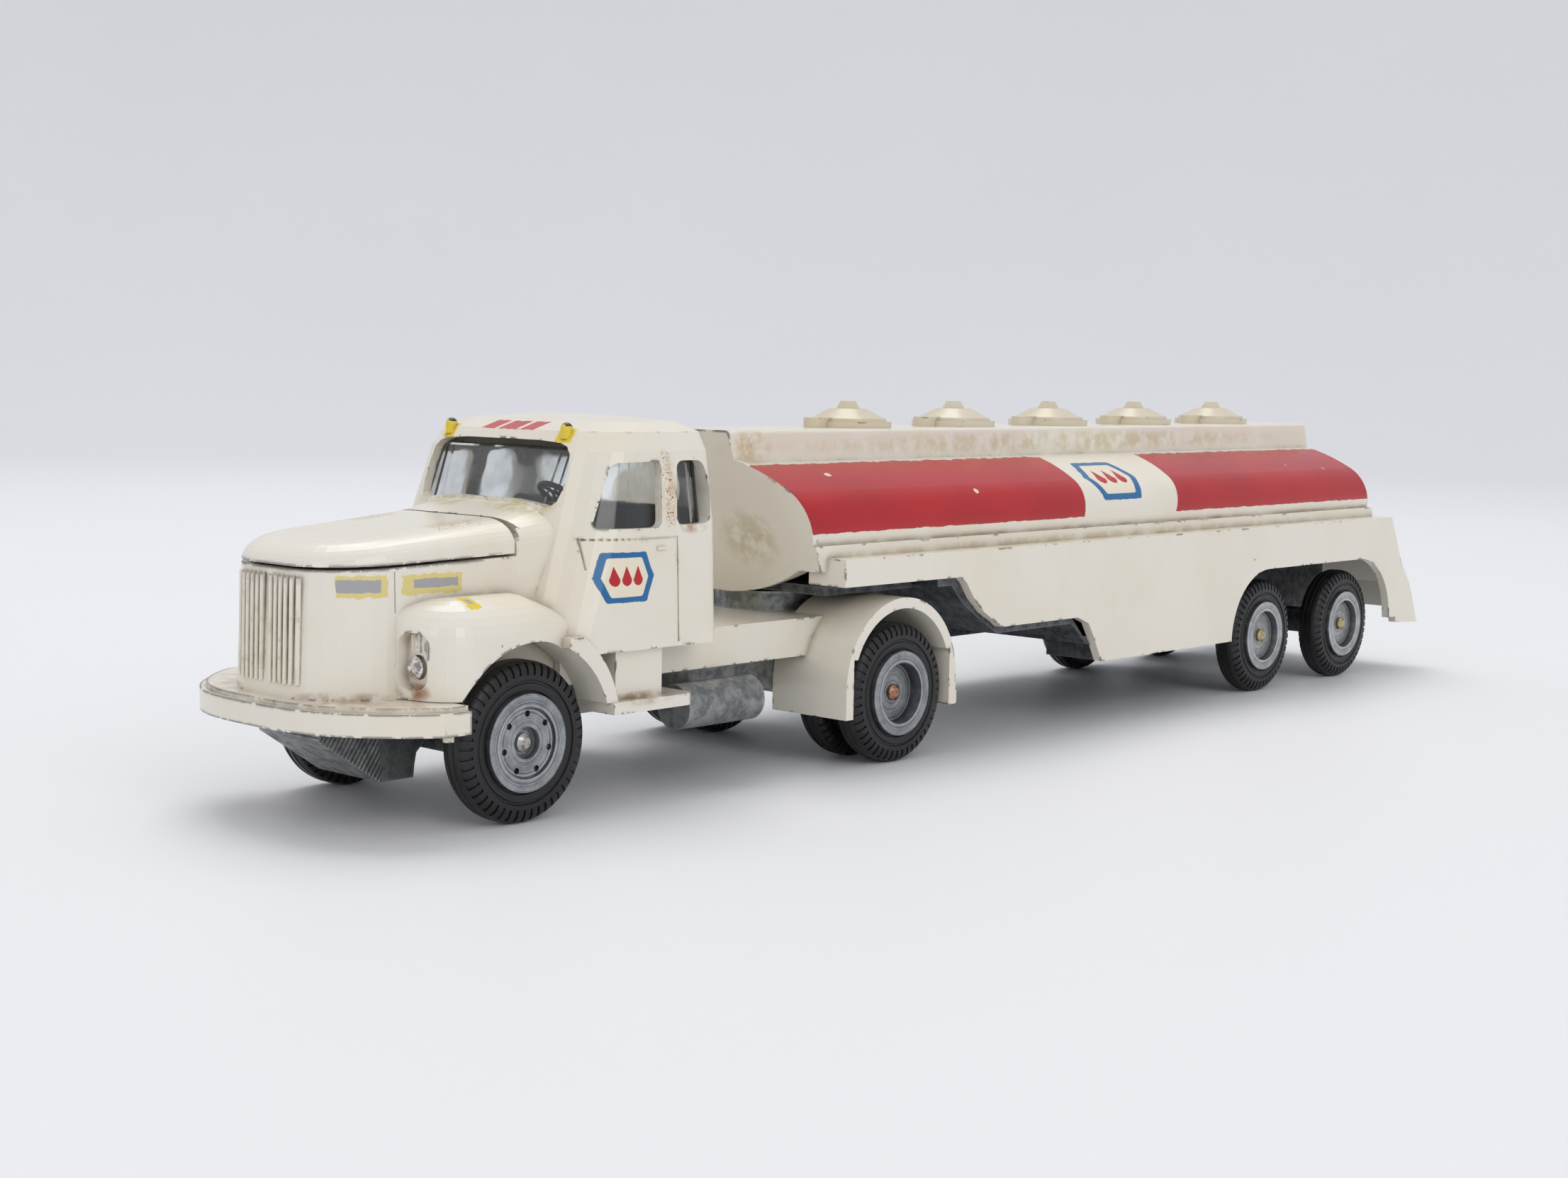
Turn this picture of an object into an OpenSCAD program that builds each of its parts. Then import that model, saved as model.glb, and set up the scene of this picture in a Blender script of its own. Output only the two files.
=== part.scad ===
// Toy articulated tanker lorry, die-cast, about 1:50.
// +X points forward, +Y to the lorry's left, +Z up; the origin is at the
// bottom centre of the whole outline, with the tyres standing on Z = 0.

/* [Layout] */
// Front axle to the front of the bumper
front_overhang = 28; // [26:0.5:34]
// Front axle to rear axle of the tractor
wheelbase = 70; // [62:1:90]
// Kingpin ahead of the rear axle
kingpin_set = 4; // [0:0.5:6]
// Kingpin to the first trailer axle
trailer_wheelbase = 113; // [98:1:140]
// Distance between the two trailer axles
bogie_pitch = 30.6; // [26:0.2:38]
// Last axle to the tip of the tail
rear_overhang = 27; // [24:0.5:34]

/* [Wheels] */
// Tyre outer radius
tyre_r = 10.5; // [8.7:0.1:12.6]
// Tyre width over the side walls
tyre_w = 4.6; // [3.8:0.1:5.5]
// Radius of the rim flange
rim_r = 6.35; // [5.2:0.05:7]
// Radius of the barrel that the tyre sits on
seat_r = 5.5; // [4.5:0.1:6]
// Axle pin radius
pin_r = 0.9; // [0.7:0.05:1.1]
// Radial play of a wheel on its pin
pin_play = 0.05; // [0.02:0.01:0.09]
// Middle of the front tyre from the centreline
front_track = 17.9; // [16:0.1:19]
// Middle of the outer rear tyre from the centreline
rear_track = 21.7; // [20:0.1:24]
// Spacing of the twin rear tyres
twin_pitch = 7.4; // [6:0.1:8]
// Middle of the trailer tyres from the centreline
trailer_track = 19.8; // [17:0.1:20.4]
// Air between a tyre and the arch around it
arch_gap = 1.7; // [1:0.1:2.5]

/* [Cab] */
// Half width of the cab at its sill
cab_hw = 22; // [20:0.1:25]
// Rear wall, behind the front axle
cab_back = 33.4; // [31:0.1:38]
// Sill height above the axle
sill_z = 10.6; // [9:0.1:12]
// Roof height above the axle
roof_z = 41.1; // [40:0.1:48]
// Wall thickness of the painted castings
wall = 1.3; // [0.9:0.1:1.8]
// Glazing thickness
glass_t = 0.8; // [0.5:0.1:1.2]

/* [Bonnet] */
// Half width of the bonnet behind its nose
nose_hw = 13.3; // [12.6:0.1:14]
// Corner radius of the nose, seen from above
nose_r = 10.1; // [9:0.1:11.5]
// Gap around the bonnet lid
lid_gap = 0.35; // [0.25:0.05:0.5]
// Hinge pin radius
hinge_pin_r = 0.4; // [0.3:0.05:0.5]
// Grille bars on each side of the centre strip
grille_bars = 6; // [3:1:6]

/* [Frame] */
// Half width of the chassis beam
beam_hw = 15.8; // [13:0.1:17]
// Beam height
beam_h = 5.6; // [4:0.1:6.5]
// Bumper depth, top to bottom
bumper_h = 3.5; // [2.5:0.1:4.5]
// Half width of the bumper
bumper_hw = 24; // [22:0.1:26]
// Mudguard sheet thickness
guard_t = 1.6; // [1:0.1:2]
// Kingpin radius
kingpin_r = 1.6; // [1.2:0.05:2.2]
// Height clearance between tractor and trailer
deck_gap = 0.35; // [0.3:0.05:0.8]

/* [Trailer] */
// Half width over the skirts
skirt_hw = 24.4; // [23:0.1:27]
// Half width of the tank
tank_hw = 20.3; // [17:0.1:21.5]
// Half height of the tank
tank_hh = 10.2; // [9:0.1:12]
// Half width of the walkway box
walk_hw = 8; // [7.4:0.1:10]
// Walkway box height above the tank crown
walk_h = 3.7; // [2:0.1:5]
// Radius of a hatch flange
hatch_r = 7; // [5.5:0.1:7.2]
// Number of hatches
hatches = 5; // [3:1:5]
// Distance the tank reaches ahead of the kingpin, at its foot
tank_nose = 9.4; // [8:0.1:12]

/* [Hidden] */

$fn = 48;
hull_fn = 32;
e = 0.01;
cream = [0.87, 0.84, 0.75];
zinc = [0.62, 0.64, 0.65];
steel = [0.72, 0.72, 0.72];
dark = [0.22, 0.23, 0.24];
black = [0.05, 0.05, 0.05];
clear = [0.8, 0.9, 0.95, 0.35];

// where the two vehicles' own frames lie
total = front_overhang + wheelbase - kingpin_set + trailer_wheelbase + bogie_pitch + rear_overhang;
front_axle_x = total / 2 - front_overhang;
kingpin_x = front_axle_x - wheelbase + kingpin_set;
bogie_x = kingpin_x - trailer_wheelbase;
axle_z = tyre_r;

// rear mudguard: a round arch on straight legs
arch_r = tyre_r + 0.7;
guard_r = arch_r + guard_t;
guard_lift = 1.6;
guard_in = rear_track - twin_pitch - tyre_w / 2 - 0.5 - guard_t;
guard_out = rear_track + tyre_w / 2 + 0.5;
guard_foot = 2.8;
guard_top = axle_z + guard_lift + guard_r;
deck_z = guard_top + deck_gap;

// tractor, measured from the front axle's centre
bumper_top = 6.4;
bumper_back = 12;
bumper_corner = 12;
beam_z0 = 5.9;
beam_top = beam_z0 + beam_h;
beam_inner = front_track - tyre_w / 2 - 2.2;
deck_t = 1.6;
seam_front = 22.7;
seam_rear = 23.6;
lid_back = -3.2;
hinge = [-2.2, 25.95];
hinge_sweep = 2.55;
nose_x = front_overhang - 3.2 - nose_r;
nose_draft = 0.35;
nose_edge = 3;
crown_front = 25.5;
crown_rear = 28;
sill_front = -3.4;
sill_corner = 9;
belt_z = 26.8;
belt_in = 0.6;
belt_front = -8.5;
belt_corner = 11;
window_top = 35.4;
door_front = -10.5;
door_rear = -25.1;
door_top = belt_z - 1.4;
groove = 0.3;
rib_r = 0.34;
rib_first = 0.95;
rib_pitch = 1.02;
wheel_spot = [-15.4, 8.8, 30.4];
column_tilt = -38;
steer_r = 2.6;
arch_front_r = tyre_r + arch_gap;
tail_r = arch_front_r + 2.6;
lamp = [14.4, 16, 10.5];
lamp_r = 1.5;
step_hw = 20.6;
board_hw = 22.4;
board_top = 4;
board_t = 1.6;
tank_r = 3.2;

// trailer, measured from the kingpin at the underside of its deck
lean = 0.33;
tank_axis = tank_hh;
tank_tail = -(trailer_wheelbase + bogie_pitch) - rear_overhang + 12.2;
tail_tip = -(trailer_wheelbase + bogie_pitch) - rear_overhang;
skirt_t = 1.5;
skirt_top = 5.9;
skirt_low = 1.9;
swan_z = -6.6;
locker_z = axle_z + 0.3 - deck_z;
mid_z = axle_z + 3.2 - deck_z;
axle_rel = axle_z - deck_z;
bay_r = tyre_r + arch_gap + 0.4;
base_t = 1.4;
swan_x0 = -17.9;
swan_x1 = -28.5;
locker_x = -54;
bay_flare = 2.5;
bay_front = -trailer_wheelbase + bay_r + bay_flare + 0.3;
base_hw = skirt_hw - skirt_t;
rivet_places = [[locker_x - 8, 0, mid_z], [-trailer_wheelbase - bogie_pitch / 2, 0, axle_rel - 1]];

side_r = 6.2;
tank_top = tank_axis + tank_hh;
walk_z = tank_top + walk_h;
hatch_pitch = 27.3;
hatch_first = -18.6;

// wheels: the pins' heads stand just outside the hubs' bosses
seat_hw = tyre_w / 2 - 0.5;
rim_t = 0.9;
disc_t = 1.4;
well_r = 2.1;
front_dish = 0.3;
front_well = 0.9;
rear_dish = 1.9;
trailer_dish = 1.2;
studs = 7;
stud_ring = 3.8;
end_play = 0.1;
front_pin = front_track + seat_hw + rim_t - front_dish - front_well + end_play;
rear_pin = rear_track + seat_hw + rim_t - rear_dish + end_play;
trailer_pin = trailer_track + seat_hw + rim_t - trailer_dish + end_play;
// rivets stand in pockets, their heads just inside the face of the plate
rivets_x = [-12, -52];
rivet_r = 1.9;
rivet_h = 0.65;
plate_z = 0.6;

// ---------- helpers ----------

module tractor() translate([front_axle_x, 0, axle_z]) children();
module trailer() translate([kingpin_x, 0, deck_z]) children();
module both_sides() { children(); mirror([0, 1, 0]) children(); }
module box(x0, x1, y0, y1, z0, z1) translate([x0, y0, z0]) cube([x1 - x0, y1 - y0, z1 - z0]);
// a profile drawn in (x, z), extruded from y0 to y1
module along_y(y0, y1) translate([0, y1, 0]) rotate([90, 0, 0]) linear_extrude(y1 - y0) children();
// a profile drawn in (y, z), extruded from x0 to x1
module along_x(x0, x1) translate([x0, 0, 0]) rotate([90, 0, 90]) linear_extrude(x1 - x0) children();

module rounded(x0, x1, y0, y1, r) {
    translate([x0 + r, y0]) square([x1 - x0 - 2 * r, y1 - y0]);
    translate([x0, y0 + r]) square([x1 - x0, y1 - y0 - 2 * r]);
    for (x = [x0 + r, x1 - r], y = [y0 + r, y1 - r]) translate([x, y]) circle(r);
}

// outline seen from above, symmetric about y = 0, with its own front and rear corner radii
module plan(x0, x1, hw, rear_r, nose_corner) {
    inner = hw - max(rear_r, nose_corner);
    translate([x0 + rear_r, -hw]) square([x1 - nose_corner - x0 - rear_r, 2 * hw]);
    translate([x0, -inner]) square([x1 - x0, 2 * inner]);
    translate([x0, -hw + rear_r]) square([rear_r + e, 2 * (hw - rear_r)]);
    for (s = [-1, 1]) {
        translate([x1 - nose_corner, s * (hw - nose_corner)]) circle(nose_corner);
        translate([x0 + rear_r, s * (hw - rear_r)]) circle(rear_r);
    }
}

// ---------- tractor: painted castings ----------

module cab_slice(z, front, hw, back, corner) {
    translate([0, 0, z]) linear_extrude(e) plan(-back, front, hw, 2.2, max(corner, 1), $fn = hull_fn);
}

// the cab's whole volume, or the same drawn in by a wall
module cab_volume(in) {
    b = cab_back - in;
    hull() {
        cab_slice(sill_z, sill_front - in, cab_hw - in, b, sill_corner - in);
        cab_slice(belt_z, belt_front - in, cab_hw - belt_in - in, b, belt_corner - in);
        cab_slice(roof_z - 4.5, -12.2 - in, cab_hw - 2.1 - in, b, 8.6 - in);
        cab_slice(roof_z - 1.9 - in, -13.8 - in, cab_hw - 3.4 - in, b - 0.2, 7.8 - in);
        cab_slice(roof_z - 0.7 - in, -17.5 - in, cab_hw - 5.8 - in, b - 1.6, 6.5 - in);
        cab_slice(roof_z - in - e, -25.8, cab_hw - 13.5, b - 5.6, 1.2);
    }
}

// the bonnet's whole volume: a round nose with a rolled top edge, widening into the cowl
module bonnet_volume(in) {
    r = nose_r - in;
    edge = nose_edge - in / 2;
    tilt = atan((crown_rear - crown_front) / (nose_x + nose_r - nose_edge - lid_back));
    top = crown_front + (nose_r - nose_edge) * sin(tilt) - in;
    hull() {
        both_sides() translate([nose_x, nose_hw - nose_r, 0]) {
            translate([0, 0, bumper_top]) cylinder(h = 1, r = r + nose_draft, $fn = hull_fn);
            translate([0, 0, top]) rotate([0, tilt, 0]) rolled_disc(r, edge * 1.4, edge);
        }
        bonnet_slice(lid_back - lid_gap, nose_hw + 0.7 - in, crown_rear - in, 6 - in, 3.2 - in / 2);
    }
}

// a disc of radius r whose upper edge rolls over, w wide and h high, ending at Z = 0
module rolled_disc(r, w, h) {
    rotate_extrude($fn = hull_fn) {
        translate([0, -h]) square([r - w, h]);
        intersection() {
            translate([r - w, -h]) scale([w / h, 1]) circle(h, $fn = hull_fn);
            translate([0, -h]) square([r, h]);
        }
    }
}

// the cowl between the bonnet and the windscreen
module cowl_volume() {
    hull() {
        bonnet_slice(lid_back - lid_gap, nose_hw + 0.7, crown_rear, 6, 3.2);
        bonnet_slice(-9.5, nose_hw + 1.9, 29.6, 9, 4.6);
    }
}

// a cross-section whose shoulders roll over, w wide and h high
module bonnet_slice(x, hw, top, w, h) {
    along_x(x, x + e) {
        translate([-hw, bumper_top]) square([2 * hw, top - h - bumper_top]);
        translate([w - hw, bumper_top]) square([2 * (hw - w), top - bumper_top]);
        for (s = [-1, 1]) translate([s * (hw - w), top - h]) scale([w / h, 1]) circle(h, $fn = hull_fn);
    }
}

// everything above the shut line and ahead of the cowl; gap widens it all round
module lid_region(gap) {
    along_y(-30, 30) polygon([[lid_back - gap, seam_rear - gap], [lid_back - gap, 40],
        [40, 40], [40, seam_front - (40 - nose_x - nose_r) * 0.03 - gap * 1.3]]);
}

module fender_volume() {
    hull() {
        translate([8.7, 16, 12.8]) sphere(6, $fn = hull_fn);
        translate([8.7, 16, bumper_top + 0.1]) cylinder(h = 1, r = 6, $fn = hull_fn);
        translate([10.6, 8, bumper_top + 0.1]) cylinder(h = 11, r = 6, $fn = hull_fn);
        translate([0, 16, 12.8]) sphere(6, $fn = hull_fn);
        translate([-8, 14, 12.4]) cylinder(h = 2, r = 5, $fn = hull_fn);
        translate([0, 8, 7]) cylinder(h = 8, r = 5, $fn = hull_fn);
    }
}

// the points of an outline with each of its corners rounded off over a distance r
function soft(points, r) = [
    for (i = [0 : len(points) - 1])
    let (n = len(points), p = points[i], before = points[(i + n - 1) % n] - p, after = points[(i + 1) % n] - p,
        a = p + before * r / norm(before), b = p + after * r / norm(after))
    for (t = [0 : 0.2 : 1]) (1 - t) * (1 - t) * a + 2 * t * (1 - t) * p + t * t * b];

// rounded window openings, cut through the shell: the door's and the rear quarter's
module side_windows() {
    low = belt_z - 0.2;
    along_y(10, 30) polygon(soft([[-12.1, low], [-15.7, window_top - 0.2], [-23.5, window_top],
        [-22.5, low]], 1.2));
    along_y(10, 30) polygon(soft([[-25.3, low + 0.2], [-26.3, window_top], [-31.2, window_top], [-32.7, 31],
        [-31.6, low + 0.3]], 1.3));
}

// the windscreen's opening: one side from the bottom centre to the top centre, and its mirror image
module windscreen_cut() {
    top = roof_z - 3.2;
    half = [[6, 30.05], [11.3, 29.6], [13.2, 29.3], [14, 30], [14.4, 31.6], [14.45, top - 3.6], [14, top - 1.6],
        [13.2, top - 0.7], [11.8, top - 0.25], [7.4, top]];
    n = len(half);
    along_x(-18, 0) polygon(concat(half, [for (i = [1 : n]) [-half[n - i][0], half[n - i][1]]]));
}

module cab_shell() {
    color(cream) tractor() {
        difference() {
            union() {
                cab_volume(0);
                difference() {
                    bonnet_volume(0);
                    lid_region(lid_gap);
                }
                cowl_volume();
                both_sides() fender_volume();
                fender_tails();
                grille();
                roof_markers();
                door_handles();
            }
            // hollow cab, open below
            difference() {
                cab_volume(wall);
                box(-10, 2, -30, 30, 0, 26);
            }
            box(-cab_back + wall, -10, wall - cab_hw, cab_hw - wall, sill_z - 1, sill_z + 2);
            // engine bay
            bonnet_volume(wall);
            box(lid_back - 1.4, nose_x, -8.6, 8.6, bumper_top - 1, bumper_top + 3);
            // room for the lid's rear edge as it swings
            along_y(0.3 - nose_hw, nose_hw - 0.3) translate(hinge) circle(hinge_sweep);
            along_y(-nose_hw - 1.7, nose_hw + 1.7) translate(hinge) circle(hinge_sweep - 0.85);
            both_sides() wheel_well();
            side_windows();
            mirror([0, 1, 0]) side_windows();
            windscreen_cut();
            along_x(-40, -30) rounded(-14.5, 14.5, belt_z + 1.7, window_top - 0.7, 1.6);
            both_sides() lamp_recess();
            // the casting stands on the bumper shelf, the running boards and the beam
            box(-7, 40, -40, 40, -20, bumper_top);
            box(-60, -6, -40, 40, -20, board_top);
            box(-60, -9.4, -beam_hw - 0.1, beam_hw + 0.1, 0, beam_top);
            box(-60, -6.9, -beam_inner, beam_inner, 0, beam_top);
            door_lines();
        }
        hinge_ears();
    }
}

module wheel_well() {
    translate([0, front_track - tyre_w / 2 - 1, 0]) rotate([-90, 0, 0])
        cylinder(h = 4.4 + tyre_w, r = arch_front_r + 0.9);
    translate([0, front_track, 0.8]) rotate([-90, 0, 0]) cylinder(h = 10, r = arch_front_r);
}

// the rear leg of each front wing, running down to the running board
module fender_tails() {
    both_sides() intersection() {
        translate([0, 15, 0.8]) rotate([-90, 0, 0]) cylinder(h = cab_hw - 15.2, r = tail_r);
        box(-20, -6, 10, 30, board_top, 13);
    }
}

module lamp_recess() {
    translate([lamp[0] - 0.6, 0, 0]) along_x(0, 6)
        rounded(lamp[1] - 2.2, lamp[1] + 2.2, lamp[2] - 2.7, lamp[2] + 4.3, 1.6);
    translate([lamp[0] - 1.8, lamp[1], lamp[2]]) rotate([0, 90, 0]) cylinder(h = 4, r = lamp_r + 0.05);
}

// upright ribs on each side of a plain centre strip
module grille() {
    foot = bumper_top + 1.8;
    for (s = [-1, 1], i = [0 : grille_bars - 1]) {
        y = rib_first + i * rib_pitch;
        x = nose_x + sqrt(nose_r * nose_r - pow(max(y - nose_hw + nose_r, 0), 2)) + nose_draft;
        translate([x, s * y, foot]) rotate([0, -1.2, 0]) cylinder(h = 13.4, r = rib_r, $fn = 16);
    }
}

module roof_markers() {
    both_sides() translate([-13.8, 12, roof_z - 2.9]) {
        cylinder(h = 1.3, r = 0.85, $fn = 24);
        translate([0, 0, 1.3]) sphere(0.85, $fn = 24);
    }
}

module door_handles() both_sides() translate([-22.9, skin_y(-22.2, door_top - 1.6) - 0.3,
    door_top - 1.7]) cube([1.5, 0.6, 0.4]);

// the cab skin's distance from the centreline, between the sill and the belt
function skin_y(x, z) =
    let (t = (z - sill_z) / (belt_z - sill_z), hw = cab_hw - belt_in * t,
        r = sill_corner + (belt_corner - sill_corner) * t,
        ahead = x - sill_front - (belt_front - sill_front) * t + r)
    ahead <= 0 ? hw : hw - r + sqrt(r * r - ahead * ahead);

// shallow grooves down both edges and along the top of each door
module door_lines() {
    cuts = 16;
    step = (door_front - door_rear) / cuts;
    both_sides() {
        door_groove(door_rear - groove, door_rear, sill_z + 0.6, door_top);
        door_groove(door_front - groove, door_front, door_top - 4, door_top);
        for (i = [0 : cuts - 1])
            door_groove(door_rear + i * step - e, door_rear + (i + 1) * step, door_top - groove, door_top);
    }
}

module door_groove(x0, x1, z0, z1) {
    depth = 0.14;
    x = (x0 + x1) / 2;
    along_x(x0, x1) polygon([[skin_y(x, z0) - depth, z0], [cab_hw + 1, z0],
        [cab_hw + 1, z1], [skin_y(x, z1) - depth, z1]]);
}

module hinge_ears() {
    ear_r = 0.75;
    both_sides() difference() {
        union() {
            translate([hinge[0], 3.6, hinge[1]]) rotate([-90, 0, 0]) cylinder(h = 1.2, r = ear_r);
            box(hinge[0] - ear_r, hinge[0] + ear_r, 3.6, 4.8, hinge[1] - 4.5, hinge[1]);
            box(lid_back - 1.5, hinge[0] + ear_r, 3.6, 4.8, hinge[1] - 4.5, hinge[1] - 3);
        }
        translate([hinge[0], 0, hinge[1]]) rotate([-90, 0, 0]) cylinder(h = 10, r = hinge_pin_r);
    }
}

module bonnet_lid() {
    color(cream) tractor() {
        difference() {
            union() {
                difference() {
                    intersection() {
                        bonnet_volume(0);
                        lid_region(0);
                    }
                    bonnet_volume(wall * 0.85);
                }
                intersection() {
                    bonnet_volume(wall * 0.5);
                    both_sides() {
                        translate([hinge[0], 5.1, hinge[1]]) rotate([-90, 0, 0]) cylinder(h = 1.4, r = 0.95);
                        box(hinge[0] - 0.95, hinge[0] + 3, 5.1, 6.5, hinge[1], hinge[1] + 3);
                    }
                }
            }
            translate([hinge[0], -10, hinge[1]]) rotate([-90, 0, 0])
                cylinder(h = 20, r = hinge_pin_r + pin_play);
            along_y(-5, 5) translate([lid_back - 0.5, hinge[1] - 3]) square([0.6, 3.6]);
        }
    }
}

module bonnet_hinge_pin() {
    color(steel) tractor() translate([hinge[0], -7, hinge[1]]) rotate([-90, 0, 0])
        cylinder(h = 14, r = hinge_pin_r);
}

module cab_glazing() {
    color(clear) tractor() intersection() {
        difference() {
            cab_volume(wall);
            cab_volume(wall + glass_t);
        }
        box(-60, 0, -40, 40, belt_z - 0.7, roof_z - 2.7);
    }
}

// ---------- tractor: what is inside ----------

module seat_unit() {
    floor_hw = cab_hw - wall - 1;
    color(dark) tractor() {
        box(-cab_back + wall + 0.5, -14, -floor_hw + 1, floor_hw - 1, beam_top, beam_top + 1.2);
        both_sides() {
            along_y(2.2, 15.5) rounded(-28.5, -18.5, beam_top + 1, 20.5, 1);
            along_y(2.2, 15.5) rounded(-31.2, -28, 14, 29, 1.2);
        }
    }
}

module dashboard() {
    color(dark) tractor() difference() {
        dashboard_body();
        steering_place() translate([0, 0, -5.2]) cylinder(h = 5, r = 0.5, $fn = 24);
    }
}

module dashboard_body() {
    union() {
        along_y(-11.4, 11.4) polygon([[-14.5, 22], [-14.5, 26.6], [-13.6, 27.6], [-11.2, 27.6], [-10.6, 22]]);
        box(-11.8, -10.6, -11.4, 11.4, beam_top, 22.4);
    }
}

module steering_place() translate(wheel_spot) rotate([0, column_tilt, 0]) children();

module steering_column() {
    color(dark) tractor() steering_place() translate([0, 0, -5.2]) cylinder(h = 5, r = 0.5, $fn = 24);
}

module steering_wheel() {
    color(black) tractor() steering_place() {
        rotate_extrude() translate([steer_r, 0]) circle(0.38, $fn = 20);
        translate([0, 0, -0.2]) cylinder(h = 0.6, r = 0.8, $fn = 24);
        for (a = [90, 210, 330]) rotate([0, 0, a]) translate([0, -0.25, -0.15]) cube([steer_r, 0.5, 0.3]);
    }
}

module engine_block() {
    bed = bumper_top;
    color(zinc) tractor() {
        box(-1.5, 14, -3.6, 3.6, bed, 15);
        along_x(-0.8, 13.2) polygon([[-3, 15], [3, 15], [2.2, 19.5], [-2.2, 19.5]]);
        box(1, 12, 3.6, 6, 9, 12.5);
        for (i = [0 : 5]) translate([0.6 + i * 2.2, -3.6, 12]) rotate([90, 0, 0])
            cylinder(h = 1.6, r = 0.7, $fn = 24);
        box(0, 13, -6.4, -5.2, 11, 13);
        translate([14, 0, 12]) rotate([0, 90, 0]) cylinder(h = 1.6, r = 1.5, $fn = 24);
    }
}

module cooling_fan() {
    color(zinc) tractor() translate([15.6, 0, 12]) rotate([0, 90, 0]) {
        cylinder(h = 1, r = 1.2, $fn = 24);
        for (a = [0 : 60 : 300]) rotate([0, 0, a]) translate([0.4, -0.8, 0.2]) cube([4.6, 1.6, 0.5]);
    }
}

module headlamp() {
    translate(lamp) rotate([0, 90, 0]) {
        translate([0, 0, -1.8]) cylinder(h = 1.9, r = lamp_r);
        intersection() {
            translate([0, 0, -1.9]) sphere(2.5);
            cylinder(h = 2, r = lamp_r);
        }
    }
}

module left_headlamp() color(clear) tractor() headlamp();
module right_headlamp() color(clear) tractor() mirror([0, 1, 0]) headlamp();

// ---------- tractor: frame and base ----------

function bumper_x(y) = front_overhang - bumper_corner * pow(abs(y) / bumper_hw, 3);

module bumper_plan(in) {
    steps = 32;
    w = bumper_hw - in;
    polygon(concat([[bumper_back, -w]],
        [for (i = [-steps : steps]) let (y = i * w / steps) [bumper_x(y * bumper_hw / w) - in, y]],
        [[bumper_back, w]]));
}

module mudguard() {
    x = -wheelbase;
    foot = -guard_foot;
    difference() {
        along_y(guard_in, guard_out) guard_profile(guard_r, foot);
        along_y(guard_in + guard_t, guard_out + 1) guard_profile(arch_r, foot - 2);
        // the inner wall ends above the base plate
        along_y(guard_in - 1, guard_out) translate([x - arch_r, foot - 1])
            square([2 * arch_r, beam_z0 + 1 - foot]);
    }
    // small tab on the rear foot
    box(x - guard_r - 0.8, x - guard_r + guard_t, guard_out - 2.4, guard_out - 0.4, foot, foot + 2);
}

// a round-topped opening, from its foot to the top of its arch
module guard_profile(r, foot) {
    intersection() {
        translate([-wheelbase, guard_lift]) circle(r, $fn = 96);
        translate([-wheelbase - r, guard_lift]) square([2 * r, r]);
    }
    translate([-wheelbase - r, foot]) square([2 * r, guard_lift - foot]);
}

module chassis_frame() {
    rear = -wheelbase - guard_r;
    inner = beam_hw - 1.6;
    color(cream) tractor() {
        difference() {
            union() {
                // bumper shelf
                translate([0, 0, bumper_top - bumper_h]) linear_extrude(bumper_h - 0.6) bumper_plan(0);
                translate([0, 0, bumper_top - bumper_h]) linear_extrude(bumper_h) bumper_plan(0.7);
                // narrow front frame between the wheels
                box(-12, bumper_back + e, -beam_inner, beam_inner, bumper_top - 1.6, bumper_top);
                both_sides() box(-12, bumper_back + e, beam_inner - 1.6, beam_inner,
                    bumper_top - bumper_h, bumper_top);
                // wide rear beam
                box(rear + 4, -9.5, -beam_hw, beam_hw, beam_z0, beam_top);
                both_sides() running_board();
            }
            // hollow underneath
            box(rear + 5.5, -11, -inner, inner, beam_z0 - 1, beam_top - deck_t);
            translate([0, 0, bumper_top - bumper_h - 1]) linear_extrude(bumper_h) intersection() {
                bumper_plan(1.8);
                translate([bumper_back + 1, -30]) square([40, 60]);
            }
            both_sides() twin_wheel_room();
            translate([kingpin_set - wheelbase, 0, beam_top - 3]) cylinder(h = 6, r = kingpin_r + pin_play);
        }
        both_sides() {
            mudguard();
            // small peg under each end of the bumper
            translate([bumper_back + 2.5, bumper_hw - 1.4, bumper_top - bumper_h - 0.8])
                cylinder(h = 2, r = 0.7, $fn = 24);
        }
    }
}

module running_board() {
    translate([0, 0, board_top - board_t]) linear_extrude(board_t) {
        translate([-26, beam_hw - 2]) square([26 - 13.2, board_hw - beam_hw + 2]);
        translate([-28.4, beam_hw - 2]) square([4, board_hw - beam_hw]);
        translate([-26.4, board_hw - 2]) circle(2);
    }
    box(-23.5, -tail_r - 0.2, beam_hw - 1, step_hw, board_top - e, sill_z);
}

// keeps the beam clear of the inner twin tyre
module twin_wheel_room() {
    translate([-wheelbase, guard_in + guard_t, guard_lift]) rotate([-90, 0, 0]) cylinder(h = 30, r = arch_r);
    box(-wheelbase - arch_r, -wheelbase + arch_r, guard_in + guard_t, 40, -20, guard_lift);
}

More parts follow.
